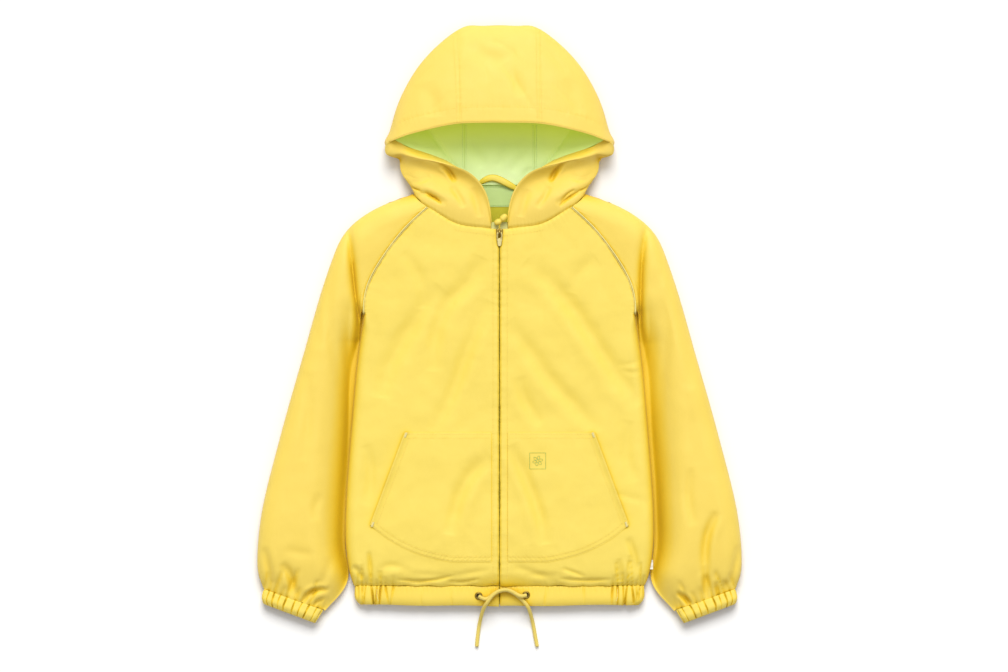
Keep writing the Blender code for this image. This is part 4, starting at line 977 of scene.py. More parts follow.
def make_sleeves():
    shoulder = np.array(NECK_SHOULDER)
    front_start = sleeve_start((FRONT_RAGLAN, front_z), shoulder[:1:-1], FRONT_RAGLAN_STEPS, 72)
    back_start = sleeve_start((BACK_RAGLAN, back_z), shoulder[:3], BACK_RAGLAN_STEPS, 40)
    for start in (front_start, back_start):
        start[0, 2] = HEIGHT / 2
    for side, sign in SIDES:
        front = sleeve_half(front_start, 1, sign)
        back = sleeve_half(back_start, -1, sign)
        ring = np.concatenate([front, back[:, -2:0:-1]], axis=1)
        inwards = ring[1] - ring[0]
        ring[0] += inwards / np.linalg.norm(inwards, axis=-1, keepdims=True) * 0.3
        cloth("cloth_sleeve_" + side, ring[::-1] * (sign, 1, 1), [SHELL_SLEEVE_SHADED],
              nodes=["sleeve_front_" + side, "sleeve_back_" + side], ring=True, flip=sign < 0)


def cuff_ring(sign):
    """Rows of points round a cuff, from the sleeve's seam to the hand."""
    turn = np.arange(CUFF_COLUMNS) / CUFF_COLUMNS
    rows = []
    for level, section in zip(np.linspace(0, 1, CUFF_ROWS), cuff_sections(CUFF_ROWS)):
        inner, outer, height = section[:2], section[2:4], section[4]
        flat, out = oval(np.linalg.norm(outer - inner), height, CUFF_COLUMNS)
        depth = np.zeros(CUFF_COLUMNS)
        for number, gather in enumerate(CUFF_GATHERS):
            wander = 0.0012 * math.sin(1.2 * level * math.pi + number * 2.3 + sign)
            gap = (turn - gather.at - wander + 0.5) % 1 - 0.5
            shift = 0.75 + 0.25 * math.sin(2.2 * level * math.pi + number)
            depth += gather.depth * shift * sharp(gap / gather.width / 0.5)
        puff = 0.5 * math.sin(math.pi * min(level * 1.25, 1)) - 0.6 * math.exp(-(level / 0.08) ** 2)
        puff -= 0.9 * max(level - 0.95, 0) / 0.05
        flat = flat + out * (puff * 0.8 - depth)[:, None]
        along = (outer - inner) / np.linalg.norm(outer - inner)
        plan = (inner + outer) / 2 + flat[:, :1] * along
        z = np.maximum(height / 2 + flat[:, 1], 0)
        rows.append(with_z(plan, z))
    return np.array(rows)


def make_cuffs():
    for side, sign in SIDES:
        ring = cuff_ring(sign)[::-1] * (sign, 1, 1)
        cloth("cloth_cuff_" + side, ring, [SHELL], nodes=["cuff_" + side], ring=True, flip=sign < 0)


# ---- hem ----
def hem_top(x, share):
    """How far the hem's gathers lower it, at x and a share of the way down the casing."""
    depth = np.zeros(np.shape(x))
    for number, gather in enumerate(HEM_GATHERS):
        place = gather.x + 3.2 * math.sin(number * 2.4) * share + 0.5 * np.sin(3 * share + number * 1.9)
        crease = sharp((x - place) / gather.width / 0.6)
        depth += 1.5 * gather.depth * crease * (0.75 + 0.25 * np.cos(4 * share + number))
    return depth


def hem_relief(plan, share, sign):
    """How the hem's front puffs out, gathers and ripples, a share of the way down the casing."""
    x = plan[..., 0]
    puff = HEM_PUFF * math.sin(math.pi * share) ** 0.6
    ripple = 0.25 * np.sin(x * 1.1 + 2 * np.sin(x * 0.13)) * math.exp(-((share - 0.15) / 0.2) ** 2)
    return puff - hem_top(x * sign, share) + 0.3 * drape_noise(plan * (sign, 1), 31) + ripple


def hem_half(inner_x, side, sign=1):
    """Half of the hem casing's points, rows from its lower edge to the seam."""
    coarse = np.array(HEM)
    level = -coarse[:, 0]
    fine = natural_spline(level, coarse, np.linspace(level[0], level[-1], HEM_ROWS))
    rows = []
    shares = np.linspace(0, 1, HEM_ROWS)
    columns = HEM_COLUMNS if side > 0 else HEM_COLUMNS // 3
    for share, (y, half_width, height) in zip(shares, fine):
        turned = half_width - HEM_REACH * (1 - np.cos(np.linspace(np.pi / 2, 0, 14)))
        x = np.concatenate([np.linspace(inner_x, half_width - HEM_REACH, columns), turned[1:]])
        half = height / 2
        bulge = rounded(half_width - x, HEM_REACH)
        z = half + side * (STRIP + (half - STRIP) * bulge)
        if side > 0:
            z = z + hem_relief(np.stack([x, np.full(len(x), y)], axis=-1), share, sign) * bulge
            z = z - 0.4 * math.exp(-(share / 0.07) ** 2) - 0.5 * max(share - 0.88, 0) / 0.12
            z = z - 1.2 * np.exp(-((x - inner_x) / 1.2) ** 2)
            y = y + (0.5 * np.sin(x / 17.0 + sign) - HEM_SAG * np.clip(1 - x / 170, 0, 1)) * share
        row = np.stack([x, np.broadcast_to(y, x.shape), z], axis=-1)
        seam = row[-1:].copy()
        seam[0, 2] = half + side * 0.15
        rows.append(np.concatenate([row, seam]))
    return np.array(rows)[::-1]


def make_hem():
    for side, sign in SIDES:
        grid = hem_half(ZIP_EDGE, 1, sign) * (sign, 1, 1)
        cloth("cloth_hem_front_" + side, grid, [SHELL_HEM], nodes=["hem_front_" + side], wall=HEM_WALL,
              flip=sign < 0)
    half = hem_half(0.0, -1)
    grid = np.concatenate([mirrored(half)[:, :0:-1], half], axis=1)
    cloth("cloth_hem_back", grid, [SHELL_HEM], nodes=["hem_back"], wall=HEM_WALL, flip=True)


# ---- hood ----
def crown_row(row, neck):
    brow_x = row.face_x + (row.fold_x - row.face_x) * BROW_SHARE
    brow_y = row.face_y + (row.fold_y - row.face_y) * BROW_SHARE
    brow_z = row.fold_z + (row.face_z - row.fold_z) * BROW_RISE
    points = [(row.face_x, row.face_y, row.face_z), (brow_x, brow_y, brow_z),
              (row.fold_x, row.fold_y, row.fold_z), (row.under_x, row.under_y, row.under_z), neck]
    return stepped(points, CROWN_FINE)


def cheek_row(row, neck):
    def between(share, z):
        return (row.face_x + (neck[0] - row.face_x) * share, row.face_y + (neck[1] - row.face_y) * share, z)

    points = [(row.face_x, row.face_y, row.face_z), between(DIP_SHARE, row.dip_z),
              between(BULGE_SHARE, row.bulge_z), neck]
    return stepped(points, CHEEK_FINE)


def hood_grid():
    """The whole hood's outer face, rows from the zip on the right over the crown to the left."""
    neck = NECK_BACK + NECK_SHOULDER + NECK_FRONT[:-1]
    rows = [crown_row(row, point) for row, point in zip(CROWN, neck)]
    rows += [cheek_row(row, point) for row, point in zip(CHEEK, neck[len(CROWN):])]
    half = np.array(rows)
    whole = np.concatenate([mirrored(half)[:0:-1], half])
    return finer(whole, HOOD_STEPS, 1)


def pushed(grid):
    """The hood with its outline pushed outwards in a few places."""
    for x, y, reach, push_x, push_y in HOOD_PUSHES:
        near = np.exp(-((np.abs(grid[..., 0]) - x) ** 2 + (grid[..., 1] - y) ** 2) / reach ** 2)
        grid[..., 0] += near * push_x * np.sign(grid[..., 0])
        grid[..., 1] += near * push_y
    return grid


def hood_seams(grid, across, crown, cheek):
    """How far the hood's stitched hem, crown seams and neck seam raise it."""
    face = np.array([run(row) for row in grid])
    neck_gap = face[:, -1:] - face
    number = np.arange(len(grid))[:, None] * np.ones_like(face)
    hem_gap = face - VISOR_HEM
    hem = crown * (0.2 / (1 + np.exp(hem_gap / 0.5)) - 0.3 * np.exp(-(hem_gap / 1.3) ** 2))
    hem += crown * puckered(np.abs(hem_gap), number * 2.1) - 0.9 * np.exp(-(face / 1.1) ** 2)
    seam_gap = np.abs(across - CROWN_SEAM) * CROWN_STEP_WIDTH
    seams = (0.25 * np.exp(-(seam_gap / 1.6) ** 2) - puckered(seam_gap, face, 9.0) * 0.9) * crown
    collar = seam_dip(neck_gap) * cheek - puckered(neck_gap, number * 1.6, 6.0)
    return hem - seams - collar * (across > len(CROWN) - 1)


def dressed_hood():
    """The hood's outer face with its folds; also the index of its middle row."""
    grid = pushed(hood_grid())
    middle = (len(grid) - 1) // 2
    plan = grid[..., :2]
    normal = -normals_of(grid)
    upward = np.clip(normal[..., 2], 0, 1) * (grid[..., 2] > 9)
    across = np.abs(np.arange(len(grid)) - middle)[:, None] / HOOD_STEPS
    crown = np.clip(FACE_CORNER - across, 0, 1)
    cheek = np.clip(across - FACE_CORNER, 0, 1)
    depth = (folded(plan, HOOD_FOLDS) + folded(plan, CROWN_CREASES, sharp)) * crown
    depth += (folded(plan, CHEEK_FOLDS) + folded(plan, CHEEK_PINCHES, sharp)) * cheek
    rise = drape_noise(plan, 23) * (0.9 * crown + 0.5 * cheek)
    change = rise + hood_seams(grid, across, crown, cheek) - depth
    grid = grid + normal * (change * upward)[..., None]
    grid[..., 2] = np.maximum(grid[..., 2], 0)
    return grid, middle


def make_hood(grid, middle):
    """Three pieces with lining inside, but shell cloth inside along the face edge and at its corners."""
    seam = CROWN_SEAM * HOOD_STEPS
    pieces = (("centre", middle - seam, middle + seam), ("side_left", middle + seam, len(grid) - 1),
              ("side_right", 0, middle - seam))
    materials = [SHELL_HOOD_SHADED, LINING, SHELL_HOOD_SHADED, SHELL_HOOD_SHADED]
    columns = grid.shape[1] + 1
    for name, first, last in pieces:
        rows = grid[first:last + 1]
        piece = cloth("cloth_hood_" + name, rows, materials, nodes=["hood_" + name], flip=True)
        rows = np.clip(np.arange(first - 1, last + 1), first, last)
        from_corner = np.abs(np.abs(rows - middle) / HOOD_STEPS - FACE_CORNER)[:, None]
        shell_inside = (np.arange(columns)[None] < FACE_STRIP) | (from_corner < 1.0)
        slots = np.where(shell_inside, 2, 0).astype(np.int32)
        piece.data.polygons.foreach_set("material_index", slots.ravel())


def lining_z(plan):
    """The lining lies flat up to its diagonal crease and rises beyond it."""
    start, end = (np.array(point) for point in LINING_CREASE)
    along = (end - start) / np.linalg.norm(end - start)
    offset = np.stack([np.abs(plan[..., 0]), plan[..., 1]], axis=-1) - start
    beyond = offset[..., 0] * along[1] - offset[..., 1] * along[0]
    eased = 3.0 * np.logaddexp(0, beyond / 3.0)
    rise = LINING_RISE * (eased - 3.0 * math.log(2) * np.exp(-np.abs(beyond) / 3.0))
    return LINING_Z + rise * np.clip(1 - (200 - plan[..., 1]) / 24, 0.4, 1)


def lining_surface(plan):
    z = lining_z(plan) - folded(plan, LINING_FOLDS) - folded(plan, LINING_CREASES, sharp) + 2.0
    return z + 0.8 * drape_noise(plan, 41) + 0.6


def make_lining():
    levels = np.linspace(0, 1, 60)
    table = np.array(LINING_SIDE)
    fine = natural_spline(run(table), table, levels * run(table)[-1])
    share = np.linspace(0, 1, 48)
    for side, sign in SIDES:
        inner = np.stack([np.full(len(fine), LINING_SEAM_X + 0.2), fine[:, 0]], axis=-1)
        plan = (inner[:, None] + (fine[:, 1:] - inner)[:, None] * share[None, :, None]) * (sign, 1)
        seam_gap = np.abs(plan[..., 0]) - LINING_SEAM_X
        z = lining_surface(plan) - 0.3 * np.exp(-(seam_gap / 1.8) ** 2)
        cloth("cloth_hood_lining_" + side, with_z(plan, z), [LINING], ["hood_lining_" + side],
              wall=THIN, flip=sign < 0)
    x = np.linspace(-1, 1, 48) * (LINING_SEAM_X - 0.2)
    y = np.linspace(LINING_LOW_Y, LINING_TOP_Y, 60)
    plan = np.stack(np.meshgrid(x, y), axis=-1)
    z = lining_surface(plan) - 0.3 * np.exp(-((LINING_SEAM_X - np.abs(plan[..., 0])) / 1.8) ** 2)
    cloth("cloth_hood_lining_centre", with_z(plan, z), [LINING], ["hood_lining_centre"], wall=THIN)


def make_facing(hood, middle):
    """The hood's edge rolled inwards: from its face edge over a soft round to the lining's line."""
    for side, sign in SIDES:
        rows = np.arange(FACING_ROWS[0] * HOOD_STEPS, FACING_ROWS[1] * HOOD_STEPS + 1).astype(int)
        edge = hood[middle + sign * rows, 0]
        share = run(edge) / run(edge)[-1]
        line = smooth(FACING, share) * (sign, 1)
        line = with_z(line, lining_z(line) + 1.6)
        across = np.linspace(0, 1, 15)[None, :, None]
        grid = edge[:, None] * (1 - across) + line[:, None] * across
        width = np.linalg.norm(line - edge, axis=1)[:, None]
        roll = np.sin(np.pi * across[..., 0] ** 0.7) * np.clip(width * 0.22, 0, 2.6)
        grid[..., 2] += roll + 0.5 * drape_noise(grid[..., :2], 47)
        grid[:, 0, 2] -= 0.4
        cloth("cloth_hood_facing_" + side, grid, [SHELL_HOOD_SHADED], nodes=["hood_facing_" + side], wall=THIN,
              flip=sign > 0)


def flat_piece(place, z, bow=0.4, seed=51):
    x0, x1, y0, y1 = place
    plan = np.stack(np.meshgrid(np.linspace(x0, x1, 24), np.linspace(y0, y1, 14)), axis=-1)
    return with_z(plan, z + bow * drape_noise(plan, seed))


def make_neck_inside():
    tape = flat_piece(NECK_TAPE, NECK_INSIDE_Z + 0.3)
    label = flat_piece(NECK_LABEL, NECK_INSIDE_Z + 0.5, 0.2)
    cloth("cloth_neck_tape", tape, [LINING_PALE], ["neck_tape"], wall=THIN)
    cloth("cloth_neck_label", label, [LABEL_PAINTED_SHADE], ["neck_label"], wall=THIN)
    line = smooth(HANGER_LOOP, np.linspace(0, 1, 40))
    ends = np.sin(np.pi * np.linspace(0.02, 0.98, len(line))) ** 0.25
    radii = ends[:, None] * oval_section(*HANGER_SECTION)
    loop = tube_part(line, radii, HANGER_SECTION[2])
    joined("cloth_hanger_loop", [loop], [SHELL], ["hanger_loop"])


# ---- the fields of a sheet's cut ----
# Flat width and length in mm, area in square cm, how it is held and what it lies on.
Cut = namedtuple("Cut", "width length area held on")


# ---- pockets, piping and side label ----
POCKET_CORNER = next(i for i, (y, _) in enumerate(POCKET) if y == POCKET_CORNER_Y)


def pocket_curve(count):
    """The pocket's outer edge in plan: straight down the mouth, then round the lower corner."""
    mouth = np.array([(x, y) for y, x in POCKET[:POCKET_CORNER + 1]])
    lower = np.array([(x, y) for y, x in POCKET[POCKET_CORNER:]])
    return smooth(mouth, np.linspace(0, 1, count)), smooth(lower, np.linspace(0, 1, count))


def pocket_surface(plan, sign):
    """The pocket lies on the front, its edges turned down and its mouth standing a little off."""
    mouth, lower = pocket_curve(16)
    top, bottom = [(POCKET_INNER_X, POCKET_TOP_Y)], [(POCKET_INNER_X, POCKET[-1][0])]
    outline = np.concatenate([top, mouth, lower[1:], bottom])
    right = plan * (sign, 1)
    edge = distance_to(right, outline)
    free = np.exp(-(distance_to(right, mouth) / 6.0) ** 2)
    step = np.maximum(POCKET_STEP * (1 - np.exp(-(edge / 2.2) ** 2)), free)
    z = front_surface(plan) + 0.25 + (LIFT + POCKET_WALL) * step + 0.9 * free
    row_gap = np.abs(edge - POCKET_ROWS_MIDDLE)
    return z - 0.2 * np.exp(-(row_gap / 2.2) ** 2) + 0.6 * puckered(row_gap, right.sum(-1), 6.0)


def pocket_grid(sign):
    mouth, lower = pocket_curve(46)
    outer = np.concatenate([mouth, lower[1:]])[::-1]
    share = np.linspace(0, 1, 66)
    inner = np.stack([np.full(len(outer), POCKET_INNER_X), outer[:, 1]], axis=-1)
    plan = (inner[:, None] + (outer - inner)[:, None] * share[None, :, None]) * (sign, 1)
    return with_z(plan, pocket_surface(plan, sign))


def make_pockets():
    for side, sign in SIDES:
        cloth("cloth_pocket_" + side, pocket_grid(sign), [SHELL], nodes=["pocket_" + side], wall=POCKET_WALL,
              flip=sign < 0)


def make_piping():
    for side, sign in SIDES:
        seam = FRONT_SEAM[2:-1] * (sign, 1)
        z = front_z(seam) + 0.45 + 0.15 * np.sin(run(seam) / 9.0)
        line = with_z(seam, z)
        cord = tube_part(line, PIPING_RADIUS, 12)
        joined("piping_cord_" + side, [cord], [PIPING], ["piping_" + side])
        flange = tube_part(line + (FLANGE_INWARDS * sign, -0.55, 0.1), FLANGE_RADIUS, 8)
        joined("piping_flange_" + side, [flange], [FLANGE])


def make_side_label():
    x0, x1, y0, y1 = SIDE_LABEL
    plan = np.stack(np.meshgrid(np.linspace(x0, x1, 10), np.linspace(y0, y1, 10)), axis=-1)
    z = 17.5 - 0.5 * (plan[..., 0] - 185) + 0.3 * np.sin(plan[..., 1])
    cloth("cloth_side_label", with_z(plan, z), [LABEL_WHITE], ["side_label"], wall=THIN)


# ---- zip ----
ZIP_LEVELS = np.array([(HEM[3].y, HEM[3].height), (HEM[0].y, HEM[1].height), (BODY[1].y, BODY[1].height),
                       (BODY[2].y, BODY[2].height), (BODY[4].y, BODY[4].height), (ARMPIT[1], HEIGHT)]).T


def zip_level(y):
    """Height of the fronts' inner face beside the zip."""
    return np.interp(y, *ZIP_LEVELS) - 1.6


def tooth(centre, half, corner=0.35):
    """Points and faces of a small block with its upper and lower edges drawn in."""
    x, y, z = half
    outline = [(-1, -0.6), (-0.6, -1), (0.6, -1), (1, -0.6), (1, 0.6), (0.6, 1), (-0.6, 1), (-1, 0.6)]
    levels = ((-z, 1 - corner), (-z / 2, 1), (z / 2, 1), (z, 1 - corner))
    points = [(px * x * size, py * y * size, level) for level, size in levels for px, py in outline]
    return np.array(points) + centre, ring_faces(len(levels), len(outline))


def make_zip():
    y = np.linspace(HEM[3].y + 1, ZIP_TOP_Y, 120)
    for side, sign in SIDES:
        x = np.linspace(0.9, ZIP_TAPE_WIDTH, 8)
        plan = np.stack(np.meshgrid(x * sign, y), axis=-1)
        z = (zip_level(plan[..., 1]) - 0.9) + 0.1 * np.sin(plan[..., 1] / 3.0)
        cloth("cloth_zip_tape_" + side, with_z(plan, z), [TAPE], ["zip_tape_" + side], wall=0.5,
              flip=sign < 0)
    first = HEM[3].y + 2
    teeth = []
    for number in range(int((SLIDER_Y - 3 - first) / TOOTH_PITCH)):
        place = first + number * TOOTH_PITCH
        across = TOOTH_OFFSET if number % 2 else -TOOTH_OFFSET
        teeth.append(tooth((across, place, zip_level(place) - 0.2), TOOTH_HALF))
    joined("zip_teeth", teeth, [ZIP_TEETH], ["zip_coil"])


def extruded(outline, low, high, bevel, holes=()):
    """A flat outline between two heights with rounded edges, from a curve."""
    data = bpy.data.curves.new("outline", "CURVE")
    data.dimensions = "2D"
    data.fill_mode = "BOTH"
    data.extrude = ((high - low) / 2 - bevel) * MM
    data.bevel_depth = bevel * MM
    data.bevel_resolution = 2
    data.offset = -bevel * MM
    for line in (outline, *holes):
        spline = data.splines.new("POLY")
        spline.points.add(len(line) - 1)
        for point, (x, y) in zip(spline.points, line):
            point.co = (x * MM, y * MM, 0, 1)
        spline.use_cyclic_u = True
    helper = bpy.data.objects.new("outline", data)
    bpy.context.scene.collection.objects.link(helper)
    mesh = bpy.data.meshes.new_from_object(helper.evaluated_get(bpy.context.evaluated_depsgraph_get()))
    bpy.data.objects.remove(helper, do_unlink=True)
    bpy.data.curves.remove(data)
    points = np.array([tuple(vertex.co) for vertex in mesh.vertices]) / MM
    points[:, 2] += (low + high) / 2
    faces = [list(face.vertices) for face in mesh.polygons]
    bpy.data.meshes.remove(mesh)
    return points, faces


def rounded_outline(points, radius, steps=4):
    """An outline with its corners rounded by short arcs."""
    points = [np.array(point, float) for point in points]
    line = []
    for before, here, after in zip(points[-1:] + points[:-1], points, points[1:] + points[:1]):
        start = here + (before - here) / np.linalg.norm(before - here) * radius
        end = here + (after - here) / np.linalg.norm(after - here) * radius
        for share in np.linspace(0, 1, steps + 1):
            line.append((1 - share) ** 2 * start + 2 * share * (1 - share) * here + share ** 2 * end)
    return line


def make_slider():
    """The slider's body, its cheeks and the bridge that holds the pull."""
    plate = [(x, y + SLIDER_Y) for x, y in rounded_outline(SLIDER_OUTLINE, 1.2)]
    body = extruded(plate, SLIDER_Z, SLIDER_Z + 2.4, 0.6)
    arch = smooth(BRIDGE, np.linspace(0, 1, 24)) + (0, SLIDER_Y, SLIDER_Z)
    radii = np.tile(oval_section(*BRIDGE_SECTION), (len(arch), 1))
    bridge = tube_part(arch, radii, BRIDGE_SECTION[2])
    joined("slider_body", [body, bridge], [BRASS], ["zip_slider"])


def tilted(points):
    """Turns points of the pull about its axis by its tilt at rest, and moves them there."""
    cos, sin = math.cos(PULL_TILT), math.sin(PULL_TILT)
    points = np.asarray(points, float)
    turned = np.stack([points[:, 0], points[:, 1] * cos - points[:, 2] * sin,
                       points[:, 1] * sin + points[:, 2] * cos], axis=-1)
    return turned + PULL_AXIS


def make_pull():
    outline = rounded_outline(PULL_OUTLINE, 0.6)
    window = rounded_outline(PULL_WINDOW, 0.35)
    points, faces = extruded(outline, -PULL_HALF_THICK, PULL_HALF_THICK, 0.25, [window])
    joined("pull_tab", [(tilted(points), faces)], [PULL_BRASS], ["zip_pull"], PULL)
    outline = rounded_outline(INLAY_OUTLINE, 0.8)
    points, faces = extruded(outline, PULL_HALF_THICK - 0.1, PULL_HALF_THICK + 0.35, 0.2)
    joined("pull_inlay", [(tilted(points), faces)], [INLAY], (), PULL)


def make_chin_guard():
    """The rolled end of the placket above the zip, in two lobes."""
    share = np.linspace(0, 1, 40)
    line = smooth(CHIN_GUARD, share)
    lobes = 0.62 + 0.38 * np.sin(np.pi * share) ** 0.5 - 0.34 * np.exp(-((share - 0.47) / 0.1) ** 2)
    radii = CHIN_GUARD_RADIUS * lobes * np.sqrt(np.clip(1 - (2 * share - 1) ** 8, 0.02, 1))
    joined("cloth_chin_guard", [tube_part(line, radii, 20)], [SHELL], ["chin_guard"])


# ---- drawcords and eyelets ----
def make_eyelets():
    angle = np.linspace(0, 2 * np.pi, EYELET_AROUND, endpoint=False)
    circle = np.stack([np.cos(angle), np.sin(angle), np.zeros(EYELET_AROUND)], axis=-1)
    faces = [face[::-1] for face in ring_faces(len(EYELET_PROFILE), EYELET_AROUND, capped=False)]
    ring = np.concatenate([circle * radius + (0, 0, level) for radius, level in EYELET_PROFILE])
    # Painted shadow: a near-black disc fills each eyelet's hole, where there is only shade.
    shadow_disc = circle * (EYELET_PROFILE[0][0] + 0.1)
    for side, place in (("left", EYELET_LEFT), ("right", EYELET_RIGHT)):
        centre = (*place, HEM[1].height + 1.1)
        joined("eyelet_ring_" + side, [(ring + centre, faces)], [BRASS], ["eyelet_" + side])
        joined("eyelet_painted_shadow_" + side, [(shadow_disc + centre, [list(range(EYELET_AROUND))])], [PAINTED_EYELET_SHADOW])


def make_drawcords():
    """Flat-plaited cords: the plait's crossing strands are shaped round and along each tube."""
    for side, route in (("right", CORD_FROM_RIGHT), ("left", CORD_FROM_LEFT)):
        line = smooth(route, np.linspace(0, 1, CORD_RINGS))
        length = run(line)
        angle = np.linspace(0, 2 * np.pi, CORD_AROUND, endpoint=False)
        turn = np.pi * length[:, None] / CORD_PLAIT
        strands = np.maximum(np.abs(np.sin(2 * angle + turn)), np.abs(np.sin(2 * angle - turn)))
        end = np.clip((length[-1] - length) / 1.2, 0, 1)[:, None] ** 0.5
        radii = (CORD_RADIUS - CORD_RELIEF + CORD_RELIEF * strands) * (0.25 + 0.75 * end)
        points, faces = tube_part(line, radii, CORD_AROUND)
        piece = joined("cord_" + side, [(points, faces)], [CORD], ["drawcord_" + side])


# ---- stitching ----
def on_surface(height, plan):
    """Points and upward directions of a surface along a line in plan."""
    plan = np.asarray(plan, float)
    slope = [(height(plan + move) - height(plan - move)) / 1.2 for move in ((0.6, 0), (0, 0.6))]
    normal = np.stack([-slope[0], -slope[1], np.ones(len(plan))], axis=-1)
    return with_z(plan, height(plan)), normal / np.linalg.norm(normal, axis=1, keepdims=True)


def on_grid(grid, distance, flip=False):
    """Points and outward directions across a grid's rows, at a distance along each from its start."""
    normal = normals_of(grid) * (-1 if flip else 1)
    points, outward = [], []
    for row, row_normal in zip(grid, normal):
        at = np.interp(distance, run(row), np.arange(len(row)))
        points.append([np.interp(at, np.arange(len(row)), row[:, i]) for i in range(3)])
        outward.append([np.interp(at, np.arange(len(row)), row_normal[:, i]) for i in range(3)])
    return np.array(points), np.array(outward)


Stitch = namedtuple("Stitch", "length gap width height")
TOPSTITCH = Stitch(2.5, 1.1, 0.30, 0.26)
FINE_STITCH = Stitch(1.6, 1.4, 0.28, 0.24)
SATIN = Stitch(1.0, 0.05, 0.36, 0.34)
# Places along a stitch, as shares of its length from its middle, and how thick it is there.
STITCH_SHAPE = [(-0.5, 0.35), (-0.36, 0.85), (0, 1), (0.36, 0.85), (0.5, 0.35)]
STITCH_AROUND = 6
MOTIF_CENTRE = (47.6, -170.0)
MOTIF_HALF = 10
MOTIF_PETALS = 6
MOTIF_TURN = 0.26


def stitches(path, kind=TOPSTITCH):
    """A row of stitches: each a small thread that rises from the cloth and goes back in."""
    points, normals = path
    length = run(points)
    count = max(int(length[-1] / (kind.length + kind.gap)), 1)
    middle = (np.arange(count) + 0.5) * length[-1] / count
    station, size = np.array(STITCH_SHAPE).T
    at = (middle[:, None] + station * kind.length).ravel()
    centre, up = (np.stack([np.interp(at, length, column) for column in values.T], axis=-1)
                  .reshape(count, -1, 3) for values in (points, normals))
    along = centre[:, -1:] - centre[:, :1]
    side = np.cross(along, up)
    side /= np.linalg.norm(side, axis=-1, keepdims=True)
    angle = np.linspace(0, 2 * np.pi, STITCH_AROUND, endpoint=False)
    rise = (size - 0.55) * kind.height
    ring = side[:, :, None] * (np.cos(angle) * kind.width)[:, None] * size[:, None, None]
    lift = (np.sin(angle) * kind.height * 0.8)[None] * size[:, None] + rise[:, None]
    ring = ring + up[:, :, None] * lift[..., None]
    one = ring_faces(len(size), STITCH_AROUND)
    size_of_one = len(size) * STITCH_AROUND
    faces = [[corner + number * size_of_one for corner in face] for number in range(count) for face in one]
    return (centre[:, :, None] + ring).reshape(-1, 3), faces


def bartack(height, middle, direction, length=5.6, width=3.8):
    """A dense bar of thread across the end of a row."""
    direction = np.array(direction, float) / np.linalg.norm(direction)
    across = np.array([-direction[1], direction[0]])
    parts = []
    for number, share in enumerate(np.linspace(-0.5, 0.5, 11)):
        centre = np.array(middle) + direction * share * length
        slant = direction * (0.35 if number % 2 else -0.35)
        line = np.array([centre - across * width / 2 - slant, centre, centre + across * width / 2 + slant])
        parts.append(stitches(on_surface(height, line), Stitch(width * 0.98, 0.02, 0.34, 0.42)))
    return parts


def offset_line(line, by):
    """A line in plan moved to its left."""
    tangent = np.gradient(np.asarray(line, float), axis=0)
    tangent /= np.linalg.norm(tangent, axis=1, keepdims=True)
    return line + np.stack([-tangent[:, 1], tangent[:, 0]], axis=-1) * by


def add_stitches(name, parts, material):
    return joined(name, parts, [material])


def straight(start, end, step=2.0):
    count = max(int(np.linalg.norm(np.subtract(end, start)) / step), 2)
    return np.linspace(start, end, count)


def stitch_fronts():
    for side, sign in SIDES:
        placket = PLACKET_ROWS[sign]
        hem_y = HEM_SEAM_Y + 3.4
        rows = [straight((placket * sign, HEM_SEAM_Y + 1), (placket * sign, 112)),
                offset_line(NECK_SEAM[:34] * (sign, 1), -8.0 * sign),
                straight((4.0 * sign, hem_y), (176.0 * sign, hem_y))]
        parts = [stitches(on_surface(front_surface, row)) for row in rows]
        add_stitches("stitches_front_" + side, parts, THREAD)


def pocket_rows(sign):
    """The stitched rows of a pocket in plan: two along the top, one down the mouth, two round below."""
    mouth, lower = pocket_curve(40)
    inner_x = POCKET_INNER_X + 1
    bottom = np.concatenate([lower, straight(lower[-1], (inner_x, POCKET[-1][0]), 3.0)[1:]])
    rows = [straight((inner_x, POCKET_TOP_Y - inset), (POCKET[0][1] - inset * 0.3, POCKET_TOP_Y - inset))
            for inset in POCKET_ROWS]
    rows += [offset_line(bottom, -inset)[1:] for inset in POCKET_ROWS]
    rows += [offset_line(mouth, -inset)[1:-1] for inset in MOUTH_ROWS]
    return [row * (sign, 1) for row in rows]


def stitch_pockets():
    for side, sign in SIDES:
        def height(plan, sign=sign):
            return pocket_surface(plan, sign)

        parts = [stitches(on_surface(height, row)) for row in pocket_rows(sign)]
        add_stitches("stitches_pocket_" + side, parts, THREAD)
        top = (POCKET[0][1] - 1.5) * sign, POCKET_TOP_Y - 3.2
        corner = (POCKET[POCKET_CORNER][1] - 3.4) * sign, POCKET_CORNER_Y + 0.5
        tacks = bartack(height, top, (0.35 * sign, -1)) + bartack(height, corner, (0.35 * sign, -1))
        add_stitches("bartacks_pocket_" + side, tacks, THREAD_PALE)


def stitch_hem():
    for side, sign in SIDES:
        grid = hem_half(ZIP_EDGE, 1, sign) * (sign, 1, 1)
        columns = grid[:, :HEM_COLUMNS + 8]
        upper = on_grid(columns[::-1].transpose(1, 0, 2), 3.2, flip=sign > 0)
        lower = on_grid(columns.transpose(1, 0, 2), 2.4, flip=sign < 0)
        add_stitches("stitches_hem_" + side, [stitches(upper), stitches(lower)], THREAD)
        column = int(np.argmin(np.abs(grid[0, :, 0] - HEM_TACKS[sign])))
        line = grid[3:-3, column]
        normal = np.tile((0.0, 0.0, 1.0), (len(line), 1))
        tack = stitches((line, normal), Stitch(1.6, 0.3, 0.42, 0.4))
        add_stitches("bartack_hem_" + side, [tack], THREAD_PALE)


